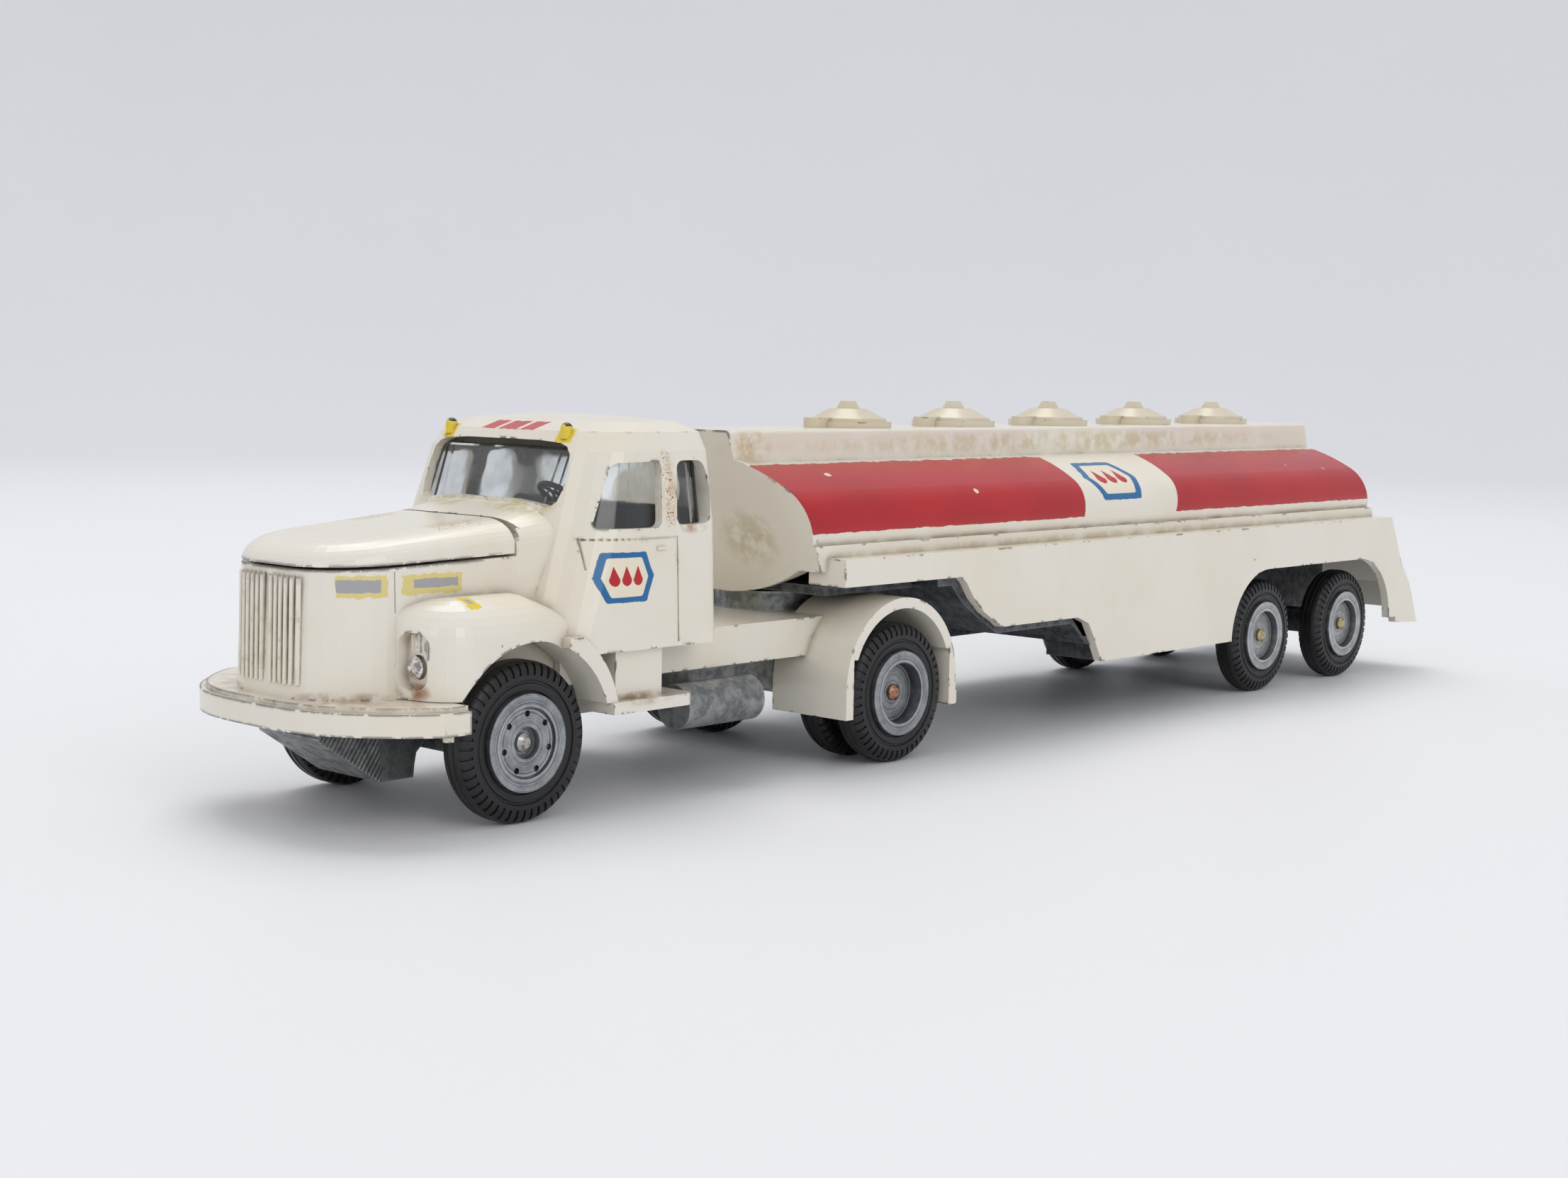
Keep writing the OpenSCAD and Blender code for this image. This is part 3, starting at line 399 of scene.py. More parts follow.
@dataclass
class Place:
    """A surface point as shader sockets, in millimetres of the object's own frame."""

    vector: Socket
    x: Socket
    side: Socket
    z: Socket
    outward: Socket

    @property
    def parts(self) -> tuple[Socket, Socket, Socket]:
        """The distances forward, from the centreline and up."""
        return self.x, self.side, self.z


def read_place(graph: Graph, centre: Point = (0.0, 0.0, 0.0)) -> Place:
    """Adds the nodes that read where a surface point is.

    Args:
        graph: The material's graph.
        centre: The point that counts as zero, in millimetres.

    Returns:
        The place.
    """
    source = graph.node("TexCoord")
    scaled_place = graph.node("Mapping")
    graph.feed(scaled_place.inputs["Vector"], source.outputs["Object"])
    scaled_place.inputs["Location"].default_value = [-value for value in centre]
    scaled_place.inputs["Scale"].default_value = (1 / MM, 1 / MM, 1 / MM)
    vector = scaled_place.outputs["Vector"]
    x, y, z = graph.split(vector)
    across = graph.split(source.outputs["Normal"])[1]
    outward = graph.step(graph.product(graph.math("SIGN", y), across), 0.0, 0.1)
    return Place(vector, x, graph.math("ABSOLUTE", y), z, outward)


# ---------- markings ----------


class Marking:
    """Something that lies on a finish's colour."""

    def lay(self, graph: Graph, place: Place, under: Value) -> Socket:
        """Lays the marking on a colour.

        Args:
            graph: The material's graph.
            place: The surface point.
            under: The colour below.

        Returns:
            The colour with the marking on it.
        """
        raise NotImplementedError


@dataclass(frozen=True)
class Patch(Marking):
    """A ragged patch of one colour inside a box; both sides of the lorry carry it."""

    colour: Colour
    low: Point
    high: Point
    ragged: float = 0.3
    cover: float = 1.0
    outside: bool = False

    def lay(self, graph: Graph, place: Place, under: Value) -> Socket:
        """Lays the patch on a colour, and only on faces turned outward if it is outside."""
        shift = graph.line(graph.noise(place.vector, 0.9, 4.0, 0.6), 4.0, -2.0)
        masks = [
            graph.between(graph.line(shift, self.ragged, part), low, high, 0.12)
            for part, low, high in zip(place.parts, self.low, self.high)
        ]
        if self.cover < 1.0:
            bare = 0.3 * (1 - self.cover)
            holes = graph.noise(place.vector, 3.4, 3.0, 0.6)
            masks.append(graph.step(holes, 0.36 + bare, 0.4 + bare))
        if self.outside:
            masks.append(place.outward)
        return graph.mix(graph.product(*masks), under, self.colour)


@dataclass(frozen=True)
class Badge(Marking):
    """A six-sided badge: a blue outline round a pale field with three red drops."""

    centre: Point
    up: tuple[float, float]
    half_length: float
    half_height: float
    beyond: float
    ring: Colour = srgb(20, 104, 158)
    field: Colour = srgb(238, 228, 205)
    drop: Colour = srgb(188, 28, 34)

    def lay(self, graph: Graph, place: Place, under: Value) -> Socket:
        """Lays the outline, then the field, then the drops."""
        along = graph.math("SUBTRACT", place.x, self.centre[0])
        rise = graph.product(graph.math("SUBTRACT", place.z, self.centre[2]), self.up[1])
        out = graph.product(graph.math("SUBTRACT", place.side, self.centre[1]), self.up[0])
        height = graph.math("ADD", rise, out)
        tall = graph.math("ABSOLUTE", height)
        wide = graph.line(tall, 0.42, graph.math("ABSOLUTE", along))
        reach = graph.math(
            "SMOOTH_MAX",
            graph.math("DIVIDE", tall, self.half_height),
            graph.math("DIVIDE", wide, self.half_length),
            0.12,
        )
        worn = graph.line(graph.noise(place.vector, 0.8, 4.0, 0.6), 0.1, reach)
        valid = graph.product(graph.step(place.side, self.beyond, self.beyond + 0.1), place.outward)
        layers = (
            (graph.step(worn, 1.06, 1.03), self.ring),
            (graph.step(reach, 0.79, 0.765), self.field),
            (self.drops(graph, along, height), self.drop),
        )
        for mask, colour in layers:
            under = graph.mix(graph.product(mask, valid), under, colour)
        return under

    def drops(self, graph: Graph, along: Socket, height: Socket) -> Socket:
        """Draws three drops in a row.

        Args:
            graph: The material's graph.
            along: The distance along the badge from its centre.
            height: The height above the badge's centre.

        Returns:
            Their mask.
        """
        pitch = self.half_length * 0.4
        radius = self.half_height * 0.25
        level = graph.line(height, 1 / radius, 0.35)
        local = graph.math("WRAP", along, pitch / 2, -pitch / 2)
        width = graph.math("DIVIDE", graph.math("ABSOLUTE", local), radius)
        square = graph.math("ADD", graph.product(level, level), graph.product(width, width))
        bowl = graph.highest(graph.math("SQRT", square), graph.product(level, 5.0))
        taper = graph.math("ADD", graph.product(level, 0.45), width)
        below = graph.step(bowl, 1.05, 0.95)
        above = graph.product(graph.step(taper, 1.03, 0.95), graph.step(level, -0.1, 0.0))
        inside = graph.step(graph.math("ABSOLUTE", along), pitch * 1.5, pitch * 1.48)
        return graph.product(graph.highest(below, above), inside)


@dataclass(frozen=True)
class Panel(Marking):
    """A red panel along the side of the tank, between two leaning edges."""

    front: float
    rear: float
    lean_front: float
    lean_rear: float
    foot: float = 34.7
    head: float = 44.3
    lean_from: float = 35.0
    colour: Colour = srgb(184, 16, 24)

    def lay(self, graph: Graph, place: Place, under: Value) -> Socket:
        """Lays the panel on a colour, with a tone that varies a little."""
        rise = graph.math("SUBTRACT", place.z, self.lean_from)
        ahead = graph.math("SUBTRACT", place.x, graph.line(rise, self.lean_front, self.front))
        behind = graph.math("SUBTRACT", place.x, graph.line(rise, self.lean_rear, self.rear))
        wave = graph.line(graph.noise(place.vector, 0.5, 3.0), 0.5, -0.25)
        mask = graph.product(
            graph.step(ahead, 0.1, -0.1),
            graph.step(behind, -0.1, 0.1),
            graph.between(graph.math("ADD", place.z, wave), self.foot, self.head, 0.12),
            graph.step(place.side, 8.2, 8.4),
            place.outward,
        )
        tone = graph.step(graph.noise(place.vector, 0.06, 3.0), 0.35, 0.7)
        return graph.mix(mask, under, graph.mix(tone, self.colour, scaled(self.colour, 0.86)))


@dataclass(frozen=True)
class Fleck(Marking):
    """A round spot with a ragged edge, on the lorry's left side only."""

    centre: Point
    radius: float
    colour: Colour

    def lay(self, graph: Graph, place: Place, under: Value) -> Socket:
        """Lays the spot on a colour."""
        away = graph.node("VectorMath", operation="DISTANCE")
        graph.feed(away.inputs[0], place.vector)
        away.inputs[1].default_value = self.centre
        ragged = graph.noise(place.vector, 1.3, 3.0)
        uneven = graph.line(ragged, self.radius, away.outputs["Value"])
        mask = graph.step(uneven, self.radius * 1.55, self.radius * 1.4)
        return graph.mix(mask, under, self.colour)


@dataclass(frozen=True)
class Stain(Marking):
    """A soft tint that fades out from a centre, on both sides."""

    centre: Point
    reach: Point
    colour: Colour
    strength: float

    def lay(self, graph: Graph, place: Place, under: Value) -> Socket:
        """Lays the stain on a colour."""
        away = 0.0
        for middle, reach, part in zip(self.centre, self.reach, place.parts):
            share = graph.math("DIVIDE", graph.math("SUBTRACT", part, middle), reach)
            away = graph.line(share, share, away)
        near = graph.step(away, 1.0, 0.0)
        patchy = graph.step(graph.noise(place.vector, 0.35, 4.0, 0.65), 0.36, 0.62)
        return graph.mix(graph.product(near, patchy, self.strength), under, self.colour)


# ---------- finishes ----------


def open_material(name: str) -> tuple[bpy.types.Material, Graph, bpy.types.Node]:
    """Starts a material with a Principled shader.

    Args:
        name: The material's name.

    Returns:
        The material, its graph and its shader node.
    """
    material = bpy.data.materials.new(name)
    material.use_nodes = True
    return material, Graph(material.node_tree), material.node_tree.nodes["Principled BSDF"]


class Surface:
    """One material while it is built, with the shared effects that it reads."""

    def __init__(self, name: str, effects: Effects, centre: Point = (0.0, 0.0, 0.0)) -> None:
        """Starts the material.

        Args:
            name: The material's name.
            effects: The shared node groups.
            centre: The point that its place counts from, in millimetres.
        """
        self.material, self.graph, self.shader = open_material(name)
        self.effects = effects
        self.place = read_place(self.graph, centre)

    @cached_property
    def skin(self) -> dict[str, Socket]:
        """The casting's fine height and slow tone."""
        return self.graph.place(self.effects.casting, Place=self.place.vector)

    @cached_property
    def found(self) -> dict[str, Socket]:
        """The outer edges and the inner corners."""
        return self.graph.place(self.effects.edges)

    def close(self, colour: Value, rough: Value, normal: Socket) -> bpy.types.Material:
        """Feeds the shader.

        Args:
            colour: The base colour.
            rough: The roughness.
            normal: The normal.

        Returns:
            The finished material.
        """
        for name, value in (("Base Color", colour), ("Roughness", rough), ("Normal", normal)):
            self.graph.feed(self.shader.inputs[name], value)
        return self.material


@dataclass(frozen=True)
class Worn:
    """A region where the paint is chipped more than elsewhere."""

    low: Point
    high: Point
    extra: float


@dataclass(frozen=True)
class Finish:
    """A kind of surface, which builds one material."""

    name: str

    def build(self, effects: Effects) -> bpy.types.Material:
        """Builds the material.

        Args:
            effects: The shared node groups.

        Returns:
            The material.
        """
        raise NotImplementedError


@dataclass(frozen=True)
class Paint(Finish):
    """Gloss enamel on a casting: it chips at the edges and grows grimy in the corners, where the
    brown tint is partly painted shade.
    """

    tint: Colour = srgb(236, 230, 217)
    chips: float = 0.3
    flecks: float = 0.03
    grime_and_shade: float = 0.5
    markings: tuple[Marking, ...] = ()
    worn: tuple[Worn, ...] = ()
    metal: Colour = srgb(112, 114, 116)
    dirt_and_shade: Colour = srgb(120, 96, 62)

    def build(self, effects: Effects) -> bpy.types.Material:
        """Lays markings, then a brown corner tint that is partly painted shade, then chips on the
        enamel.
        """
        surface = Surface(self.name, effects)
        graph, place = surface.graph, surface.place
        skin, found = surface.skin, surface.found
        warm = tuple(c * k for c, k in zip(self.tint, (0.97, 0.95, 0.9)))
        colour = graph.mix(graph.step(skin["Tone"], 0.4, 0.7), self.tint, warm)
        for marking in self.markings:
            colour = marking.lay(graph, place, colour)
        # Brown tint in inner corners, placed by ambient occlusion: partly real soiling, partly
        # painted shade.
        dirt_and_shade = graph.place(
            effects.grime_and_shade, Place=place.vector, Crevice=found["Crevice"], Amount=self.grime_and_shade
        )["Mask"]
        colour = graph.mix(dirt_and_shade, colour, self.dirt_and_shade)
        chip = graph.place(
            effects.chips,
            Place=place.vector,
            Edge=found["Edge"],
            Amount=self.amount(graph, place),
            Flecks=self.flecks,
        )["Mask"]
        bare = graph.mix(graph.noise(place.vector, 1.4), scaled(self.metal, 0.5), self.metal)
        graph.feed(surface.shader.inputs["Metallic"], graph.product(chip, 0.6))
        gloss = graph.line(skin["Tone"], 0.16, 0.14)
        rough = graph.line(chip, 0.3, graph.line(dirt_and_shade, 0.4, gloss))
        layer = graph.math("SUBTRACT", 1.0, chip)
        normal = graph.bump(layer, 0.06, graph.bump(skin["Height"], 0.035))
        return surface.close(graph.mix(chip, colour, bare), rough, normal)

    def amount(self, graph: Graph, place: Place) -> Value:
        """Gives how strongly the paint is chipped from place to place.

        Args:
            graph: The material's graph.
            place: The surface point.

        Returns:
            The amount, 0 to 1.
        """
        result = self.chips
        for region in self.worn:
            limits = zip(place.parts, region.low, region.high)
            masks = [graph.between(part, low, high, 1.0) for part, low, high in limits]
            result = graph.line(graph.product(*masks), region.extra, result)
        return result


@dataclass(frozen=True)
class CastMetal(Finish):
    """Bare die-cast metal: mottled, dull and a little grainy."""

    light: Colour
    dark: Colour
    rough: float = 0.45
    grain: float = 0.09
    metallic: float = 0.75
    ribs: bool = False

    def build(self, effects: Effects) -> bpy.types.Material:
        """Builds mottled metal, with a painted highlight on its edges and painted shade in its
        corners.
        """
        surface = Surface(self.name, effects)
        graph, found = surface.graph, surface.found
        mottle = graph.step(graph.noise(surface.place.vector, 0.55, 6.0, 0.7), 0.38, 0.62)
        colour = graph.mix(mottle, self.dark, self.light)
        # Painted highlight: the edges are lightened.
        colour = graph.mix(graph.product(found["Edge"], 0.6), colour, scaled(self.light, 1.5))
        # Painted shade: the inner corners are darkened.
        colour = graph.mix(graph.product(found["Crevice"], 0.6), colour, scaled(self.dark, 0.35))
        surface.shader.inputs["Metallic"].default_value = self.metallic
        normal = graph.bump(surface.skin["Height"], self.grain)
        if self.ribs:
            normal = graph.bump(self.rib_height(graph, surface.place), 0.22, normal)
        return surface.close(colour, graph.line(mottle, -0.12, self.rough + 0.06), normal)

    @staticmethod
    def rib_height(graph: Graph, place: Place) -> Socket:
        """Draws fine cross ribs on the sloping front of the skid plate.

        Args:
            graph: The material's graph.
            place: The surface point.

        Returns:
            Their height.
        """
        pitch = 0.62
        along = graph.line(place.z, 0.56, graph.product(place.x, 0.83))
        wave = graph.math("SINE", graph.product(along, math.tau / pitch))
        low_part = graph.between(place.z, 4.9, 12.2, 0.4)
        region = graph.product(graph.step(place.x, 116.6, 117.2), low_part)
        return graph.product(graph.line(wave, 0.5, 0.5), region)


@dataclass(frozen=True)
class TurnedMetal(Finish):
    """A hub's metal, with lathe rings centred on its axle."""

    axle: Axle
    light: Colour
    dark: Colour
    rough: float
    metallic: float = 0.85

    def build(self, effects: Effects) -> bpy.types.Material:
        """Builds cloudy metal with lathe rings, and painted shade in its inner corners."""
        surface = Surface(self.name, effects, self.axle.centre)
        graph, place = surface.graph, surface.place
        rings = graph.place(effects.turning, Place=place.vector)["Height"]
        cloudy = graph.noise(place.vector, 0.5, 6.0, 0.72)
        tone = graph.line(rings, 0.7, graph.product(cloudy, 0.6))
        colour = graph.mix(graph.step(tone, 0.5, 0.82), self.dark, self.light)
        # Painted shade: the hub's inner corners are darkened.
        corner_shade = graph.product(surface.found["Crevice"], 0.75)
        colour = graph.mix(corner_shade, colour, scaled(self.dark, 0.25))
        surface.shader.inputs["Metallic"].default_value = self.metallic
        normal = graph.bump(surface.skin["Height"], 0.05, graph.bump(rings, 0.16))
        return surface.close(colour, graph.line(cloudy, 0.3, self.rough - 0.12), normal)


@dataclass(frozen=True)
class Rubber(Finish):
    """Black rubber, dusty in patches and rougher where it is dusty."""

    axle: Axle

    def build(self, effects: Effects) -> bpy.types.Material:
        """Builds dusty rubber with faint mould rings."""
        surface = Surface(self.name, effects, self.axle.centre)
        graph, place = surface.graph, surface.place
        rings = graph.place(effects.turning, Place=place.vector)["Height"]
        dusty = graph.step(graph.noise(place.vector, 0.45, 5.0, 0.7), 0.5, 0.75)
        colour = graph.mix(graph.product(dusty, 0.35), srgb(17, 17, 19), srgb(58, 56, 54))
        normal = graph.bump(surface.skin["Height"], 0.05, graph.bump(rings, 0.06))
        return surface.close(colour, graph.line(dusty, 0.25, 0.4), normal)


@dataclass(frozen=True)
class Plastic(Finish):
    """Moulded plastic with a faint grain, and a painted highlight that lightens its edges."""

    tint: Colour
    rough: float = 0.5
    metallic: float = 0.0

    def build(self, effects: Effects) -> bpy.types.Material:
        """Builds uneven plastic, with a painted highlight on its edges."""
        surface = Surface(self.name, effects)
        graph, skin = surface.graph, surface.skin
        tone = graph.mix(skin["Tone"], scaled(self.tint, 0.7), self.tint)
        # Painted highlight: the edges are lightened.
        edge_highlight = graph.product(surface.found["Edge"], 0.4)
        colour = graph.mix(edge_highlight, tone, scaled(self.tint, 1.7, 0.01))
        surface.shader.inputs["Metallic"].default_value = self.metallic
        rough = graph.line(skin["Tone"], 0.2, self.rough - 0.1)
        return surface.close(colour, rough, graph.bump(skin["Height"], 0.05))


@dataclass(frozen=True)
class PinMetal(Finish):
    """Drawn wire: bright, with tarnish in small spots."""

    tint: Colour
    rough: float = 0.32

    def build(self, effects: Effects) -> bpy.types.Material:
        """Builds bright wire with dull spots."""
        surface = Surface(self.name, effects)
        graph = surface.graph
        spots = graph.step(graph.noise(surface.place.vector, 1.6, 5.0, 0.7), 0.48, 0.68)
        colour = graph.mix(spots, self.tint, scaled(self.tint, 0.38))
        surface.shader.inputs["Metallic"].default_value = 1.0
        normal = graph.bump(surface.skin["Height"], 0.06)
        return surface.close(colour, graph.line(spots, 0.3, self.rough), normal)


@dataclass(frozen=True)
class ClearPlastic(Finish):
    """Moulded clear glazing, slightly wavy, hazed by handling."""

    tint: Colour
    rough: float = 0.04

    def build(self, effects: Effects) -> bpy.types.Material:
        """Builds clear glazing with haze in patches."""
        surface = Surface(self.name, effects)
        graph, place = surface.graph, surface.place
        haze = graph.step(graph.noise(place.vector, 0.25, 5.0, 0.65), 0.42, 0.72)
        colour = graph.mix(haze, self.tint, scaled(self.tint, 0.82))
        surface.shader.inputs["Transmission Weight"].default_value = 1.0
        surface.shader.inputs["IOR"].default_value = 1.49
        wavy = graph.bump(graph.noise(place.vector, 0.2, 1.0), 0.12)
        return surface.close(colour, graph.line(haze, 0.12, self.rough), wavy)


@dataclass(frozen=True)
class FoiledJewel(Finish):
    """A cut jewel backed with silver foil."""

    def build(self, effects: Effects) -> bpy.types.Material:
        """Builds sparkling foil under a clear coat."""
        surface = Surface(self.name, effects)
        graph = surface.graph
        sparkle = graph.step(graph.noise(surface.place.vector, 1.2), 0.4, 0.6)
        colour = graph.mix(sparkle, srgb(236, 236, 238), srgb(150, 142, 138))
        surface.shader.inputs["Metallic"].default_value = 0.9
        surface.shader.inputs["Coat Weight"].default_value = 1.0
        normal = graph.bump(surface.skin["Height"], 0.02)
        return surface.close(colour, graph.line(sparkle, 0.08, 0.07), normal)


class Paintshop:
    """Builds each finish once and puts it on CAD nodes and new pieces."""

    def __init__(self) -> None:
        """Builds the shared node groups."""
        self.effects = Effects()
        self.made: dict[str, bpy.types.Material] = {}

    def material(self, finish: Finish) -> bpy.types.Material:
        """Gives a finish's material, building it the first time."""
        if finish.name not in self.made:
            self.made[finish.name] = finish.build(self.effects)
        return self.made[finish.name]

    def dress(self, finish: Finish, *names: str) -> None:
        """Gives CAD nodes a finish.

        Args:
            finish: The finish.
            *names: The nodes' names.
        """
        for name in names:
            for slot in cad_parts[name].material_slots:
                slot.material = self.material(finish)
            log.info("%s wears %s", name, finish.name)


# ---------- new meshes ----------


@dataclass
class Piece:
    """What a new piece needs besides its mesh."""

    name: str
    body: str
    slot: str
    finish: Finish
    crease: float = 30.0

    def finish_mesh(
        self, shop: Paintshop, shape: bmesh.types.BMesh, *replaced: str
    ) -> bpy.types.Object:
        """Turns a bmesh into an object that rides on its body.

        Args:
            shop: The paintshop.
            shape: The finished shape, which is freed.
            *replaced: CAD nodes that the piece stands for.

        Returns:
            The object.
        """
        bmesh.ops.remove_doubles(shape, verts=shape.verts, dist=MERGE_DISTANCE)
        bmesh.ops.recalc_face_normals(shape, faces=shape.faces)
        mesh = bpy.data.meshes.new(self.name)
        shape.to_mesh(mesh)
        shape.free()
        mesh.polygons.foreach_set("use_smooth", [True] * len(mesh.polygons))
        mesh.set_sharp_from_angle(angle=math.radians(self.crease))
        mesh.materials.append(shop.material(self.finish))
        made = bpy.data.objects.new(self.name, mesh)
        bpy.context.scene.collection.objects.link(made)
        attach(made, self.body)
        if replaced:
            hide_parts(*replaced)
        log.info("%s: %d faces on %s", self.name, len(mesh.polygons), self.body)
        return made


@dataclass
class Tyre:
    """A tyre with a stepped side wall, cross-cut shoulders and a ribbed tread."""

    node: str
    body: str
    axle: Axle
    middle: float
    radius: float = 10.5
    half_width: float = 2.3
    seat_radius: float = 5.5
    seat_half_width: float = 1.8
    steps: int = 144
    cut_depth: float = 0.22
    cut_inset: float = 0.05
    cut_from: float = 8.72
    cut_to: float = 10.2
    cut_beyond: float = 1.2
    cut_every: int = 3

    def profile(self) -> list[tuple[float, float]]:
        """Lists the section's points as radius and distance from the middle."""
        wide = self.half_width
        half = [
            (self.seat_radius, self.seat_half_width),
            (6.62, self.seat_half_width),
            (6.68, wide - 0.14),
            (6.9, wide - 0.02),
            (7.6, wide),
            (7.7, wide - 0.17),
            (7.95, wide - 0.17),
            (8.05, wide),
            (8.7, wide - 0.03),
            (9.35, wide - 0.1),
            (9.9, wide - 0.36),
            (10.24, wide - 0.72),
            (10.44, wide - 1.2),
            (self.radius, wide - 1.55),
            (self.radius - 0.14, wide - 1.62),
            (self.radius - 0.14, wide - 1.9),
            (self.radius, wide - 1.97),
        ]
        return half + [(r, -y) for r, y in reversed(half)]

    def build(self, shop: Paintshop) -> bpy.types.Object:
        """Builds the tyre in place of its CAD node.

        Args:
            shop: The paintshop.

        Returns:
            The tyre.
        """
        x, z = self.axle.value
        centre = Vector((x, self.middle, z)) * MM
        shape = bmesh.new()
        points = [
            shape.verts.new((x * MM, (self.middle + y) * MM, (z + r) * MM))
            for r, y in self.profile()
        ]
        edges = [shape.edges.new((a, b)) for a, b in zip(points, points[1:] + points[:1])]
        bmesh.ops.spin(
            shape,
            geom=points + edges,
            cent=centre,
            axis=(0, 1, 0),
            angle=math.tau,
            steps=self.steps,
            use_merge=True,
        )
        bmesh.ops.remove_doubles(shape, verts=shape.verts, dist=MERGE_DISTANCE)
        bmesh.ops.recalc_face_normals(shape, faces=shape.faces)
        cuts = [face for face in shape.faces if self.is_cut(face.calc_center_median() - centre)]
        bmesh.ops.inset_region(
            shape,
            faces=cuts,
            use_boundary=True,
            use_even_offset=True,
            thickness=self.cut_inset * MM,
            depth=-self.cut_depth * MM,
        )
        rubber = Rubber(f"rubber_{self.axle.name.lower()}", self.axle)
        piece = Piece(self.node + "_rubber", self.body, "tyre_rubber", rubber)
        return piece.finish_mesh(shop, shape, self.node)

    def is_cut(self, offset: Vector) -> bool:
        """Tells whether a face lies in one of the shoulder's cross cuts.

        Args:
            offset: The face's middle from the tyre's centre, in metres.

        Returns:
            True if it does.
        """
        radius = math.hypot(offset.x, offset.z) / MM
        column = math.floor(math.atan2(offset.z, offset.x) / math.tau * self.steps + 0.001)
        aside = abs(offset.y) / MM > self.cut_beyond
        return self.cut_from < radius < self.cut_to and aside and column % self.cut_every == 0


@dataclass
class Headlamp:
    """A cut jewel in each front wing, with the small ribs above it."""

    side: Side
    centre: Point = (118.7, 16.0, 21.0)
    radius: float = 1.47
    facets: int = 12
    depth: float = 0.62
    forward: float = 0.28
    back_point: float = 1.2
    front_dish: float = 0.12
    rib_count: int = 4
    rib_pitch: float = 0.85
    rib_radius: float = 0.2
    rib_length: float = 2.3
    rib_rise: float = 2.95
    rib_back: float = 0.65
    rib_rounding: float = 0.09

    def build(self, shop: Paintshop) -> None:
        """Builds the jewel and the ribs.

        Args:
            shop: The paintshop.
        """
        label = self.side.name.lower()
        x, y, z = self.centre
        ahead = Matrix.Rotation(math.pi / 2, 4, "Y")
        place = Matrix.Translation(Vector((x, y * self.side.value, z)) * MM) @ ahead
        shape = bmesh.new()
        bmesh.ops.create_cone(
            shape,
            cap_ends=True,
            segments=self.facets,
            radius1=self.radius * MM,
            radius2=self.radius * 0.52 * MM,
            depth=self.depth * MM,
        )
        top = [v for v in shape.verts if v.co.z > 0]
        twist = Matrix.Rotation(math.pi / self.facets, 3, "Z")
        bmesh.ops.rotate(shape, verts=top, cent=(0, 0, 0), matrix=twist)
        caps = [f for f in shape.faces if len(f.verts) > 4]
        for point in bmesh.ops.poke(shape, faces=caps)["verts"]:
            point.co.z -= (self.back_point if point.co.z < 0 else self.front_dish) * MM
        bmesh.ops.triangulate(shape, faces=shape.faces)
        bmesh.ops.translate(shape, verts=shape.verts, vec=(0, 0, self.forward * MM))
        bmesh.ops.transform(shape, matrix=place, verts=shape.verts)
        foil = FoiledJewel("jewel_foil")
        jewel = Piece(f"{label}_headlamp_jewel", "tractor", "jewel", foil, 1.0)
        jewel.finish_mesh(shop, shape, f"{label}_headlamp")

        ribs = bmesh.new()
        for index in range(self.rib_count):
            across = (index - (self.rib_count - 1) / 2) * self.rib_pitch
            rib = bmesh.ops.create_cone(
                ribs,
                cap_ends=True,
                segments=12,
                radius1=self.rib_radius * MM,
                radius2=self.rib_radius * MM,
                depth=self.rib_length * MM,
            )["verts"]
            aside = (y + across) * self.side.value
            spot = Vector((x - self.rib_back, aside, z + self.rib_rise)) * MM
            bmesh.ops.translate(ribs, verts=rib, vec=spot)
        rims = [e for e in ribs.edges if len([f for f in e.link_faces if len(f.verts) > 4]) == 1]
        bmesh.ops.bevel(
            ribs,
            geom=rims,
            offset=self.rib_rounding * MM,
            offset_type="OFFSET",
            affect="EDGES",
            segments=2,
            profile=0.5,
            material=-1,
        )
        piece = Piece(f"{label}_lamp_ribs", "tractor", "cream_paint", Tractor.cab_paint())
        piece.finish_mesh(shop, ribs)


# ---------- sub-assemblies ----------

STEEL = PinMetal("steel_wire", srgb(176, 174, 170))


